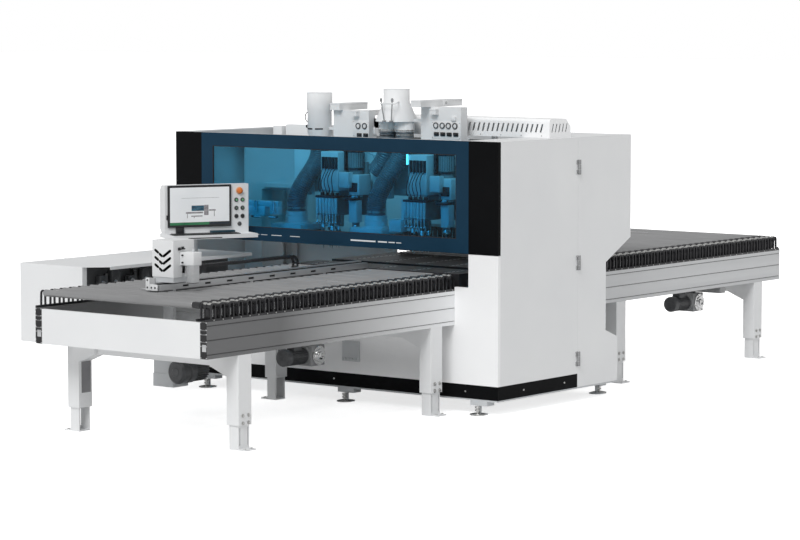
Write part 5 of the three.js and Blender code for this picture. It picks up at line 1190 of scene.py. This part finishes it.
for i in range(15):
    angle = math.pi * (0.5 + i / 14)
    loop.append(Vector((at.x - 0.1 + 0.036 * math.cos(angle), lead_y, 2.083 + 0.04 * math.sin(angle))))
line_into(dark_port_bm, loop, 0.0035)
rod_into(dark_port_bm, (at.x - 0.096, lead_y, 2.012), (at.x - 0.122, lead_y, 2.012), 0.013, 16, 0.003)
finish_piece("head_1_duct_slots_and_lead", dark_port_bm, black_rubber, "head_1")

low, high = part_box("head_2_duct")
at = middle_of("head_2_duct")
cone_top = high.z - 0.098
cone_foot = high.z - 0.246
rolled_duct("head_2", (
    (duct_radius, high.z), (bore, high.z), (bore, cone_top), (hood_radius - duct_wall, cone_foot + 0.006),
    (hood_radius - duct_wall, cone_foot + 0.002), (hood_radius, cone_foot),
    (hood_radius + 0.001, cone_foot + 0.005), (duct_radius, cone_top), (duct_radius, high.z - 0.004),
    (duct_radius + 0.002, high.z - 0.002), (duct_radius, high.z),
))
outlet_bm = bmesh.new()
outlet_clip_bm = bmesh.new()
for hand in (-1, 1):
    x = at.x + hand * outlet_offset
    turned_into(outlet_bm, (x, at.y, low.z), (0, 0, 1), (
        (outlet_radius, 0.0), (outlet_radius - duct_wall, 0.0), (outlet_radius - duct_wall, 0.076),
        (outlet_radius, 0.076), (outlet_radius, 0.0),
    ), 44)
    turned_into(outlet_clip_bm, (x, at.y, low.z + 0.004), (0, 0, 1), (
        (outlet_radius, 0.0), (outlet_radius + 0.003, 0.001), (outlet_radius + 0.003, 0.011),
        (outlet_radius, 0.012), (outlet_radius, 0.0),
    ), 44)
    y = at.y - outlet_radius * 0.92
    for z in (low.z + 0.01, low.z + 0.04):
        rod_into(outlet_clip_bm, (x - 0.03, y, z), (x - 0.03, y - 0.008, z), 0.005, 12)
finish_piece("head_2_outlets", outlet_bm, bright_white, "head_2")
hood_floor_bm = bmesh.new()
turned_into(hood_floor_bm, (at.x, at.y, cone_foot), (0, 0, 1), (
    (0.0, 0.0), (hood_radius - 0.001, 0.0), (hood_radius - 0.001, 0.003), (0.0, 0.003),
), 56)
finish_piece("head_2_hood_floor", hood_floor_bm, grey_coat, "head_2", "white_paint")
finish_piece("head_2_outlet_clips", outlet_clip_bm, turned_steel, "head_2")
short_top = Vector((at.x - outlet_offset, at.y, low.z - 0.002))
short_line = ((0.0, 0.0), (0.0, 0.03), (0.004, 0.1), (0.02, 0.17), (0.055, 0.24), (0.12, 0.31))
ribbed_hose(
    "head_2_short_hose", [short_top - Vector((aside, 0.0, down)) for aside, down in short_line], "head_2",
)
rod_bm = bmesh.new()
bar_bm = bmesh.new()
rod_y = at.y - hood_radius - 0.006
for foot_x, top_x in ((at.x + 0.011, at.x - 0.021), (at.x + 0.077, at.x + 0.086)):
    rod_into(rod_bm, (foot_x, rod_y, cone_foot + 0.003), (top_x, rod_y, cone_foot + 0.165), 0.0045, 12)
    turned_into(rod_bm, (top_x, rod_y, cone_foot + 0.152), (0, 0, 1), (
        (0.0, 0.0), (0.008, 0.0), (0.01, 0.006), (0.01, 0.02), (0.006, 0.027), (0.0, 0.028),
    ), 16)
    box_into(
        rod_bm, (foot_x - 0.012, rod_y - 0.012, cone_foot + 0.001),
        (foot_x + 0.012, rod_y + 0.012, cone_foot + 0.012), 0.002,
    )
bar_y, bar_z = rod_y - 0.005, cone_foot + 0.138
rod_into(bar_bm, (at.x - 0.03, bar_y, bar_z), (at.x + 0.118, bar_y, bar_z), 0.004, 12)
rod_into(bar_bm, (at.x + 0.117, bar_y, bar_z), (at.x + 0.074, at.y - 0.07, bar_z + 0.012), 0.004, 12)
finish_piece("head_2_damper_rods", rod_bm, gear_grey, "head_2", "grey_paint")
finish_piece("head_2_damper_bar", bar_bm, white_coat, "head_2")

# Electrical columns
# White folded columns with lidded cable trunks on top. Their fronts carry a
# connector plate: ringed round sockets over a row of rectangular ones.
dress(white_coat, "head_1_carriage", "head_2_carriage")
column_front = -0.35
plate_y = column_front - 0.0025
columns = {
    "head_1": {
        "trunks": ((-0.4665, -0.3745, -0.39, 0.347, 2.197), (-0.259, -0.212, -0.39, 0.322, 2.143)),
        "plate": (-0.2725, -0.1175, 1.943, 2.066),
        "rounds": (-0.2205, -0.1585), "squares": (-0.2095, -0.1465), "rows": (2.027, 1.957),
    },
    "head_2": {
        "trunks": ((0.3785, 0.4705, -0.475, 0.52, 2.236), (0.4885, 0.5445, -0.39, 0.322, 2.172)),
        "plate": (0.4815, 0.7485, 1.948, 2.078),
        "rounds": (0.5215, 0.5815, 0.6385, 0.6995), "squares": (0.5275, 0.5875, 0.6465, 0.7075),
        "rows": (2.048, 1.984),
    },
}
for head, column in columns.items():
    lid_bm = bmesh.new()
    for x0, x1, y, long, top in column["trunks"]:
        box_into(
            lid_bm, (x0 - 0.0015, y - 0.0015, top - 0.012), (x1 + 0.0015, y + long + 0.0015, top + 0.001),
            0.0012,
        )
    x0, x1, z0, z1 = column["plate"]
    box_into(lid_bm, (x0, plate_y, z0), (x1, column_front, z1), 0.001)
    if head == "head_2":
        box_into(lid_bm, (0.668, column_front - 0.012, 2.085), (0.708, column_front, 2.118), 0.002)
    finish_piece(f"{head}_lids_and_plate", lid_bm, white_coat, head)
    round_z, square_z = column["rows"]
    ring_bm = bmesh.new()
    core_bm = bmesh.new()
    for x in column["rounds"]:
        turned_into(ring_bm, (x, plate_y, round_z), (0, -1, 0), (
            (0.016, 0.0), (0.0235, 0.0), (0.0235, 0.007), (0.021, 0.009), (0.017, 0.009), (0.016, 0.006),
            (0.016, 0.0),
        ), 28)
        turned_into(core_bm, (x, plate_y, round_z), (0, -1, 0), (
            (0.0, 0.0), (0.0155, 0.0), (0.0155, 0.004), (0.006, 0.005), (0.0, 0.005),
        ), 24)
    square_bm = bmesh.new()
    for x in column["squares"]:
        for wide, tall, front, rear, bevel, segments in (
            (0.023, 0.0145, 0.011, 0.002, 0.004, 3), (0.012, 0.007, 0.017, 0.0108, 0.002, 2),
        ):
            box_into(
                square_bm, (x - wide, column_front - front, square_z - tall),
                (x + wide, column_front - rear, square_z + tall), bevel, segments,
            )
    finish_piece(f"{head}_round_sockets", ring_bm, motor_grey, head)
    finish_piece(f"{head}_socket_faces", core_bm, white_coat, head)
    finish_piece(f"{head}_square_sockets", square_bm, satin_black, head)
    bolt_bm = bmesh.new()
    for x in (x0 + 0.008, x1 - 0.008):
        for z in (z0 + 0.008, z1 - 0.008):
            screw_into(bolt_bm, (x, plate_y, z), (0, -1, 0), 0.0035, 0.002, 8)
    finish_piece(f"{head}_plate_screws", bolt_bm, turned_steel, head)
guide_x, guide_z, guide_radius = -0.122, 2.012, 0.074
corner_bm = bmesh.new()
arc = [(guide_x, guide_z)]
for i in range(13):
    angle = i * math.pi / 24
    arc.append((guide_x + guide_radius * math.cos(angle), guide_z + guide_radius * math.sin(angle)))
corner_bm.faces.new([corner_bm.verts.new((x, -0.285, z)) for x, z in arc])
bmesh.ops.solidify(corner_bm, geom=corner_bm.faces[:], thickness=0.004)
box_into(corner_bm, (-0.1285, -0.289, 1.962), (-0.112, -0.281, 2.02), 0.001)
finish_piece("chain_guide_plate", corner_bm, white_coat, "head_1")
bracket_bm = bmesh.new()
box_into(bracket_bm, (0.4705, -0.2, 2.188), (0.4765, -0.135, 2.232), 0.0015)
finish_piece("trunk_bracket", bracket_bm, white_coat, "head_2")
eye_bm = bmesh.new()
turned_into(eye_bm, (0.4765, -0.1675, 2.212), (1, 0, 0), band(0.006, 0.0095, 0.002), 24)
finish_piece("trunk_bracket_eye", eye_bm, gear_grey, "head_2", "grey_paint")

# Drill heads
# Each head hangs on its upright rails: spindle collars under a guard comb, a
# finned spindle motor, a bank of air cylinders with bright rods, and valves
# with their looped air lines. Beside them stands the dust hood with its brush.
dress(gear_grey, "head_1_drill_block", "head_2_drill_block", "lower_head_drill_block")
dress(grey_coat, "lower_head_carriage")
motor_navy = surface(
    "deep_motor_black", "black_paint", (0.014, 0.016, 0.02), 0.3,
    (0.012, 0.014, 0.018), (0.022, 0.024, 0.028), 18.0, (0.24, 0.36), (300.0, 0.1, 0.0003),
)
pale_box = surface(
    "pale_device_paint", "white_paint", (0.78, 0.79, 0.8), 0.36,
    (0.74, 0.75, 0.76), (0.82, 0.83, 0.84), 6.0, (0.3, 0.42), (380.0, 0.08, 0.0003),
)
head_places = {
    "head_1": (-0.4665, -0.1205, -0.4045, -0.2265, -0.7315),
    "head_2": (0.3785, 0.7525, 0.4585, 0.6385, 0.0485),
}
block_face = -0.2973
front_y = block_face - 0.25
motor_y = block_face - 0.077
rear_y = block_face - 0.032
bit_z = 1.235
rod_top, rod_foot = 1.36, 1.3
hood_y = -0.475
hood_half = 0.151
bristle_pitch = 0.00389
bristle_wide = 0.0022
for head, (left, right, spindle_x, motor_x, hood_x) in head_places.items():
    drills = f"{head}_drills"
    finned_bm = bmesh.new()
    turned_into(finned_bm, (motor_x, motor_y, 1.69), (0, 0, 1), (
        (0.0, 0.0), (0.0622, 0.0), (0.0622, 0.02), (0.055, 0.024), (0.055, 0.13), (0.0625, 0.134),
        (0.0625, 0.156), (0.05, 0.162), (0.03, 0.1625), (0.0, 0.1625),
    ), 36)
    fins_into(finned_bm, (motor_x, motor_y, 1.767), "Z", turns(22), 0.058, (0.008, 0.0024, 0.108))
    box_into(
        finned_bm, (motor_x - 0.085, motor_y - 0.05, 1.69), (motor_x - 0.0605, motor_y + 0.04, 1.84), 0.004,
    )
    finish_piece(f"{head}_spindle_motor", finned_bm, motor_navy, drills)
    collar_bm = bmesh.new()
    turned_into(collar_bm, (motor_x, motor_y, bit_z), (0, 0, 1), (
        (0.0285, 0.0), (0.031, 0.004), (0.031, 0.03), (0.0285, 0.034), (0.0285, 0.0),
    ), 32)
    turned_into(collar_bm, (motor_x, motor_y, 1.48), (0, 0, 1), (
        (0.055, 0.0), (0.0595, 0.003), (0.0595, 0.016), (0.0555, 0.02), (0.0555, 0.04), (0.058, 0.042),
        (0.058, 0.05), (0.055, 0.052), (0.055, 0.0),
    ), 40)
    for i in range(5):
        y = front_y + 0.032 + i * 0.039
        x = spindle_x + (0.028 if i % 2 else -0.028)
        turned_into(collar_bm, (x, y, bit_z - (i % 2) * 0.028), (0, 0, 1), (
            (0.0145, 0.004), (0.0165, 0.006), (0.0165, 0.05), (0.0145, 0.054), (0.0145, 0.004),
        ), 24)
    finish_piece(f"{head}_spindle_collars", collar_bm, chrome, drills)
    guard_bm = bmesh.new()
    box_into(
        guard_bm, (left - 0.012, front_y - 0.012, 1.481), (motor_x - 0.062, front_y + 0.11, 1.497), 0.003,
    )
    box_into(
        guard_bm, (motor_x + 0.03, front_y - 0.006, 1.47), (right + 0.008, front_y + 0.08, 1.486), 0.003,
    )
    for k in range(4):
        x = left + 0.03 + k * 0.048
        box_into(guard_bm, (x, front_y, 1.497), (x + 0.022, front_y + 0.03, 1.522), 0.003)
    finish_piece(f"{head}_guard_plates", guard_bm, motor_navy, drills)
    bank_bm = bmesh.new()
    rods_bm = bmesh.new()
    y = front_y - 0.002
    for k in range(7):
        x = left + 0.004 + k * 0.03
        rod_into(bank_bm, (x, y, rod_top), (x, y, 1.48), 0.0115, 18, 0.0015)
        rod_into(rods_bm, (x, y, rod_top), (x, y, rod_foot), 0.005, 12)
        rod_into(rods_bm, (x, y, rod_foot), (x, y, rod_foot - 0.014), 0.009, 6, 0.001)
    finish_piece(f"{head}_air_cylinders", bank_bm, pale_box, drills, "bare_aluminium")
    finish_piece(f"{head}_cylinder_rods", rods_bm, chrome, drills)
    device_bm = bmesh.new()
    box_into(device_bm, (left - 0.006, front_y + 0.05, 1.53), (left + 0.165, rear_y, 1.83), 0.006, 3)
    box_into(device_bm, (right - 0.09, front_y + 0.07, 1.505), (right + 0.006, rear_y, 1.66), 0.005, 3)
    box_into(device_bm, (right - 0.062, front_y + 0.03, 1.3), (right + 0.012, front_y + 0.1, 1.466), 0.004)
    box_into(
        device_bm, (motor_x - 0.045, front_y + 0.02, 1.56), (motor_x + 0.05, front_y + 0.075, 1.68), 0.004,
    )
    finish_piece(f"{head}_drive_boxes", device_bm, pale_box, drills)
    valve_bm = bmesh.new()
    line_bm = bmesh.new()
    for k in range(5):
        x = left + 0.012 + k * 0.032
        box_into(valve_bm, (x, front_y + 0.036, 1.7), (x + 0.022, front_y + 0.05, 1.79), 0.002)
        start = Vector((left + 0.023 + k * 0.032, front_y + 0.032, 1.7))
        end = Vector((left + 0.02 + k * 0.03, front_y + 0.012, 1.523))
        points = [start]
        for i in range(1, 9):
            t = i / 9
            bow = math.sin(math.pi * t) * 0.03
            points.append(start.lerp(end, t) + Vector((0.008 * math.sin(k + 5 * t), -bow, 0)))
        line_into(line_bm, points + [end], 0.0032)
    box_into(valve_bm, (right - 0.08, front_y + 0.058, 1.53), (right - 0.01, front_y + 0.07, 1.6), 0.002)
    finish_piece(f"{head}_valves", valve_bm, motor_navy, drills, "black_plastic")
    finish_piece(f"{head}_air_lines", line_bm, satin_black, drills)
    clamp_bm = bmesh.new()
    hose_top, hose_foot = hose_ends[head]
    for place in (hose_foot + Vector((0, 0, 0.02)), hose_top - Vector((0, 0, 0.03))):
        turned_into(clamp_bm, place, (0, 0, 1), band(0.0692, 0.0712, 0.012), 44)
        box_into(
            clamp_bm, place + Vector((-0.012, -0.08, -0.001)), place + Vector((0.012, -0.07, 0.013)), 0.002,
        )
    finish_piece(f"{head}_hose_clamps", clamp_bm, turned_steel, head)
    skirt_bm = bmesh.new()
    turned_into(skirt_bm, (hood_x, hood_y, 1.269), (0, 0, 1), (
        (0.0855, 0.0), (0.11, 0.001), (0.11, 0.006), (0.087, 0.012), (0.0865, 0.05), (0.089, 0.053),
        (0.089, 0.06), (0.0855, 0.062), (0.0855, 0.0),
    ), 48)
    for x, y in ((-hood_half, -0.1295), (0.1495, 0.131)):
        box_into(
            skirt_bm, (hood_x + x, hood_y - 0.131, 1.222), (hood_x + hood_half, hood_y + y, 1.268), 0.0006,
        )
    finish_piece(f"{head}_hood_collar", skirt_bm, pale_box, head)
    brush_bm = bmesh.new()
    for k in range(76):
        x = hood_x - 0.146 + k * bristle_pitch
        box_into(brush_bm, (x, hood_y - 0.1285, 1.196), (x + bristle_wide, hood_y - 0.1265, 1.223))
    for k in range(64):
        y = hood_y - 0.124 + k * bristle_pitch
        box_into(brush_bm, (hood_x + 0.1465, y, 1.196), (hood_x + 0.1485, y + bristle_wide, 1.223))
    finish_piece(f"{head}_hood_brush", brush_bm, satin_black, head)
    lift_bm = bmesh.new()
    box_into(lift_bm, (hood_x - 0.138, -0.336, 1.48), (hood_x + 0.03, -0.288, 1.838), 0.004)
    box_into(lift_bm, (hood_x - 0.075, -0.33, 1.222), (hood_x - 0.035, -0.302, 1.482), 0.002)
    finish_piece(f"{head}_hood_lift", lift_bm, pale_box, head)

# Edge sensor arm and work light
# A pale arm from the left wall carries two small upright cylinders before the
# hoods; the second head has a low white cover and a glowing cyan light tube.
arm_bm = bmesh.new()
box_into(arm_bm, (-1.468, -0.7, 1.4), (-0.735, -0.645, 1.444), 0.003)
box_into(arm_bm, (-1.048, -0.704, 1.33), (-0.86, -0.652, 1.402), 0.003)
box_into(arm_bm, (-0.81, -0.704, 1.345), (-0.73, -0.652, 1.402), 0.003)
finish_piece("sensor_arm", arm_bm, pale_box)
sensor_bm = bmesh.new()
for x in (-0.932, -0.758):
    turned_into(sensor_bm, (x, -0.72, 1.35), (0, 0, 1), (
        (0.0, 0.0), (0.007, 0.0), (0.007, 0.02), (0.0125, 0.024), (0.0125, 0.094), (0.009, 0.098),
        (0.0, 0.098),
    ), 20)
    box_into(sensor_bm, (x - 0.04, -0.735, 1.318), (x + 0.04, -0.705, 1.332), 0.002)
finish_piece("edge_sensors", sensor_bm, chrome)
low_cover_bm = bmesh.new()
box_into(low_cover_bm, (0.262, -0.59, 1.252), (0.371, -0.505, 1.346), 0.005, 3)
box_into(low_cover_bm, (0.348, -0.552, 1.344), (0.371, -0.534, 1.5), 0.002)
finish_piece("head_2_low_cover", low_cover_bm, pale_box, "head_2_drills")
tube_light = surface(
    "tube_light", "white_paint", (0.5, 0.9, 0.95), 0.3, (0.45, 0.85, 0.9), (0.6, 0.95, 1.0), 30.0,
    (0.25, 0.35),
    Emission_Color=(0.55, 1.0, 1.0, 1.0), Emission_Strength=2.2,
)
tube_bm = bmesh.new()
turned_into(tube_bm, (0.3655, -0.5, 1.75), (0, 0, 1), (
    (0.0, 0.0), (0.006, 0.0), (0.008, 0.003), (0.008, 0.087), (0.006, 0.09), (0.0, 0.09),
), 20)
finish_piece("head_2_work_light", tube_bm, tube_light, "head_2_drills")
tube_clip_bm = bmesh.new()
for z in (1.748, 1.834):
    box_into(tube_clip_bm, (0.356, -0.51, z), (0.379, -0.488, z + 0.008), 0.0015)
finish_piece("work_light_clips", tube_clip_bm, satin_black, "head_2_drills")

# Door hinges
# Three turned steel lift-off hinges at the access door's rear edge: outer
# knuckles and a leaf on the door, the middle knuckle and a leaf on the cabinet.
hinge_x, hinge_y = 1.5405, 0.0595
hinge_half, knuckle_half = 0.0555, 0.0185
knuckle_gap = 0.0004
leaf_face = 1.5285 + 0.0062
leaf_wide = 0.0262


def knuckle_into(bm, middle, half, leaf_y):
    """A hinge barrel and its leaf, which lies between two distances from the pin."""
    rod_into(bm, (hinge_x, hinge_y, middle - half), (hinge_x, hinge_y, middle + half), 0.0117, 28, 0.0016)
    box_into(
        bm, (leaf_face - 0.006, hinge_y + leaf_y[0], middle - half),
        (leaf_face, hinge_y + leaf_y[1], middle + half), 0.0012,
    )


door_hinge_bm = bmesh.new()
side_hinge_bm = bmesh.new()
leaf_screw_bm = bmesh.new()
for z in (0.327, 1.043, 1.752):
    for end in (-1, 1):
        middle = z + end * (hinge_half + knuckle_half) / 2
        knuckle_into(
            door_hinge_bm, middle, (hinge_half - knuckle_half) / 2 - knuckle_gap, (-leaf_wide, -0.004),
        )
        for k in (-1, 1):
            screw_into(
                leaf_screw_bm, (leaf_face, hinge_y - 0.018, middle + k * 0.009), (1, 0, 0), 0.0028, 0.0016,
                10,
            )
    knuckle_into(side_hinge_bm, z, knuckle_half - knuckle_gap, (0.004, leaf_wide))
finish_piece("door_hinge_knuckles", door_hinge_bm, gear_grey, "access_door", "bare_aluminium")
finish_piece("cabinet_hinge_knuckles", side_hinge_bm, gear_grey, slot="bare_aluminium")
finish_piece("door_hinge_screws", leaf_screw_bm, turned_steel, "access_door")

# Operator's desk
# A white folded box with a screen behind a black bezel, an emergency stop and
# rows of ringed buttons; below it a tray with a keyboard. It swivels on a post.
dress(white_coat, "console_box", "keyboard_tray")
dress(grey_coat, "console_pedestal")
desk_post = Vector((-0.9715, -1.39, 0.0))
desk_turn = Matrix.Translation(desk_post) @ Matrix.Rotation(math.radians(62.45), 4, "Z")
desk_face, desk_rear = -0.05, 0.06
desk_left, desk_right = -0.256, 0.416
desk_bottom, desk_top = 1.236, 1.6
screen_left, screen_right = -0.236, 0.272
screen_bottom, screen_top = 1.284, 1.5985
bezel_wide, bezel_proud, bezel_round = 0.0165, 0.015, 0.0035
tray_front = desk_face - 0.19
button_column = desk_right - 0.0735
button_gap = 0.05


def desk_piece(name, bm, material, body="console", slot=None):
    """A piece drawn facing the front of the post, then turned with the desk."""
    bmesh.ops.transform(bm, matrix=desk_turn, verts=bm.verts)
    return finish_piece(name, bm, material, body, slot)


def desk_height(share):
    """A height on the desk's face, as a share from its bottom to its top."""
    return desk_bottom + share * (desk_top - desk_bottom)


def ring_into(bm, x, z, inner, outer, height, sides=32):
    """A rounded ring on the desk's face."""
    turned_into(bm, (x, desk_face, z), (0, -1, 0), (
        (inner, 0.0), (outer, 0.0), (outer, height * 0.6), (outer - height * 0.3, height), (inner, height),
        (inner, 0.0),
    ), sides)


bezel_bm = bmesh.new()
box_into(
    bezel_bm, (screen_left, desk_face - bezel_proud, screen_bottom),
    (screen_right, desk_face + 0.0005, screen_top), bezel_round, 3,
)
front_face = max((f for f in bezel_bm.faces if f.normal.y < -0.99), key=lambda f: f.calc_area())
bmesh.ops.inset_region(bezel_bm, faces=[front_face], thickness=bezel_wide - bezel_round, depth=0.0)
bmesh.ops.translate(bezel_bm, vec=(0.0, 0.003, 0.0), verts=front_face.verts)
box_into(bezel_bm, (screen_left - 0.0095, desk_face - 0.012, 1.343), (screen_left, desk_face, 1.377), 0.002)
box_into(bezel_bm, (-0.172, desk_face - 0.016, 1.2365), (-0.109, desk_face, screen_bottom), 0.003)
desk_piece("screen_bezel", bezel_bm, satin_black)

panel_y = desk_face - bezel_proud + 0.003
panel_left, panel_right = screen_left + bezel_wide, screen_right - bezel_wide
panel_bottom, panel_top = screen_bottom + bezel_wide, screen_top - bezel_wide
screen_white = surface(
    "screen_white", "white_paint", (0.82, 0.84, 0.85), 0.25, (0.74, 0.765, 0.78), (0.85, 0.86, 0.87),
    3.2, (0.22, 0.28), detail=1.0, Emission_Color=(0.95, 0.97, 1.0, 1.0), Emission_Strength=0.12,
)
screen_bm = bmesh.new()
box_into(
    screen_bm, (panel_left, panel_y - 0.0004, panel_bottom), (panel_right, panel_y + 0.0008, panel_top),
)
desk_piece("screen_panel", screen_bm, screen_white)


def screen_ink(name, base, low, high, scale, *pieces):
    """Flat generic artwork in one colour: pieces of (name, boxes of left, bottom, right, top)."""
    material = surface(name, "black_plastic", base, 0.25, low, high, scale, (0.22, 0.28))
    for piece, boxes in pieces:
        bm = bmesh.new()
        for left, bottom, right, top in boxes:
            box_into(bm, (left, panel_y - 0.0007, bottom), (right, panel_y - 0.0003, top))
        desk_piece(piece, bm, material)


screen_ink(
    "screen_green", (0.02, 0.20, 0.08), (0.05, 0.26, 0.11), (0.012, 0.15, 0.06), 7.0,
    ("screen_green_band", ((panel_left, panel_bottom, 0.0945, panel_bottom + 0.0205),)),
)
screen_ink(
    "screen_dark", (0.02, 0.03, 0.05), (0.012, 0.018, 0.03), (0.035, 0.045, 0.06), 9.0,
    ("screen_dark_band", ((0.0945, panel_bottom, panel_right, panel_bottom + 0.0215),)),
)
screen_ink(
    "screen_teal", (0.02, 0.09, 0.15), (0.012, 0.045, 0.08), (0.05, 0.17, 0.25), 40.0,
    ("screen_cabinet", ((-0.048, 1.405, 0.052, 1.446),)),
)
screen_ink(
    "screen_grey", (0.3, 0.29, 0.3), (0.2, 0.19, 0.2), (0.42, 0.40, 0.42), 60.0,
    ("screen_beds", (
        (-0.127, 1.5015, 0.175, 1.5035), (0.053, 1.372, 0.088, 1.449), (-0.094, 1.386, 0.045, 1.398),
        (-0.05, 1.362, 0.04, 1.37), (0.09, 1.404, 0.146, 1.414), (-0.084, 1.352, -0.079, 1.386),
        (0.132, 1.362, 0.137, 1.404), (-0.03, 1.352, -0.025, 1.362),
    )),
)

cap_black = surface(
    "button_black", "black_plastic", (0.012, 0.013, 0.014), 0.32,
    (0.01, 0.011, 0.012), (0.02, 0.021, 0.022), 60.0, (0.26, 0.38),
)
lens_green = surface(
    "lens_green", "green_plastic", (0.16, 0.42, 0.22), 0.25,
    (0.12, 0.34, 0.17), (0.22, 0.5, 0.28), 90.0, (0.2, 0.3),
)
lens_grey = surface(
    "lens_grey", "green_plastic", (0.13, 0.17, 0.15), 0.25,
    (0.10, 0.14, 0.12), (0.17, 0.21, 0.18), 90.0, (0.2, 0.3),
)
button_rows = ((0.33, None), (0.5, lens_grey), (0.67, lens_green))
ring_bm = bmesh.new()
for row, (share, lens) in enumerate(button_rows):
    z = desk_height(share)
    for column, hand in enumerate((-1, 1)):
        x = button_column + hand * button_gap / 2
        node = f"push_button_{row * 2 + column + 1}"
        ring_into(ring_bm, x, z, 0.0134, 0.0168, 0.0042)
        cap_bm = bmesh.new()
        turned_into(cap_bm, (x, desk_face, z), (0, -1, 0), (
            (0.0, -0.0095), (0.0128, -0.0095), (0.0128, 0.0072), (0.0118, 0.0088), (0.0098, 0.009),
            (0.0094, 0.0082), (0.0, 0.0082),
        ), 28)
        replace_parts(desk_piece(f"{node}_cap", cap_bm, cap_black, node), node)
        if lens:
            lens_bm = bmesh.new()
            turned_into(lens_bm, (x, desk_face, z), (0, -1, 0), (
                (0.0, 0.0083), (0.0091, 0.0083), (0.0088, 0.009), (0.0045, 0.0098), (0.0, 0.01),
            ), 24)
            desk_piece(f"{node}_lens", lens_bm, lens, node)
turned_into(ring_bm, (button_column, desk_face, desk_height(0.17)), (0, -1, 0), (
    (0.0, 0.0), (0.0165, 0.0), (0.0165, 0.003), (0.0145, 0.0045), (0.0135, 0.0045), (0.0125, 0.0066),
    (0.0065, 0.0082), (0.0, 0.0085),
), 32)
desk_piece("button_rings", ring_bm, motor_grey)

stop_orange = surface(
    "stop_orange", "orange_plastic", (0.76, 0.20, 0.035), 0.3,
    (0.70, 0.17, 0.028), (0.82, 0.25, 0.05), 50.0, (0.25, 0.36),
)
stop_z = desk_height(0.86)
stop_bm = bmesh.new()
turned_into(stop_bm, (button_column, desk_face, stop_z), (0, -1, 0), (
    (0.0, -0.0095), (0.0115, -0.0095), (0.0115, 0.0066), (0.0212, 0.0066), (0.022, 0.0082), (0.022, 0.0165),
    (0.0208, 0.0205), (0.0165, 0.0238), (0.009, 0.0256), (0.0, 0.026),
), 40)
stop_head = desk_piece("emergency_stop_head", stop_bm, stop_orange, "emergency_stop")
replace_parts(stop_head, "emergency_stop")
collar_orange = surface(
    "stop_collar", "orange_plastic", (0.82, 0.46, 0.22), 0.4,
    (0.78, 0.42, 0.2), (0.86, 0.52, 0.27), 50.0, (0.35, 0.45),
)
stop_ring_bm = bmesh.new()
ring_into(stop_ring_bm, button_column, stop_z, 0.0228, 0.0272, 0.0045, 40)
desk_piece("emergency_stop_collar", stop_ring_bm, collar_orange)

key_left, key_right = -0.242, 0.285
key_front, key_rear = -0.224, -0.108
key_rows, key_columns = 6, 23
key_pitch = (key_right - key_left - 0.016) / key_columns
tray_floor = desk_bottom - 0.0081
space_bar = range(4, 9)
keyboard_bm = bmesh.new()
box_into(keyboard_bm, (key_left, key_front, tray_floor), (key_right, key_rear, tray_floor + 0.0125), 0.003)
for row in range(key_rows):
    for k in range(key_columns):
        if row == 0 and k in space_bar:
            continue
        x = key_left + 0.008 + k * key_pitch
        y = key_front + 0.007 + row * 0.0174
        box_into(
            keyboard_bm, (x + 0.0015, y + 0.0015, tray_floor + 0.0122),
            (x + key_pitch - 0.0015, y + 0.0158, tray_floor + 0.0162),
        )
box_into(keyboard_bm, (-0.141, tray_front - 0.0008, 1.2105), (0.128, tray_front + 0.0001, 1.2175))
desk_piece("keyboard", keyboard_bm, cap_black)
mat_teal = surface(
    "mat_teal", "black_plastic", (0.012, 0.05, 0.075), 0.5,
    (0.01, 0.042, 0.064), (0.018, 0.065, 0.094), 80.0, (0.45, 0.6),
)
mat_bm = bmesh.new()
box_into(mat_bm, (0.095, -0.104, tray_floor), (0.287, -0.0665, tray_floor + 0.028), 0.003)
desk_piece("tray_case", mat_bm, mat_teal)

rear_vent_bm = bmesh.new()
for k in range(14):
    x = desk_left + 0.12 + k * 0.016
    box_into(rear_vent_bm, (x, desk_rear - 0.0002, 1.36), (x + 0.007, desk_rear + 0.0006, 1.46), 0.0002)
desk_piece("desk_rear_vents", rear_vent_bm, black_rubber)
post_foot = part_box("console_pedestal")[0].z
post_bolt_bm = bmesh.new()
for k in range(4):
    turn = math.pi * (0.25 + k / 2)
    place = desk_post + Vector((math.cos(turn) * 0.037, math.sin(turn) * 0.037, post_foot + 0.0076))
    screw_into(post_bolt_bm, place, (0, 0, 1), 0.005, 0.003)
finish_piece("post_screws", post_bolt_bm, turned_steel)
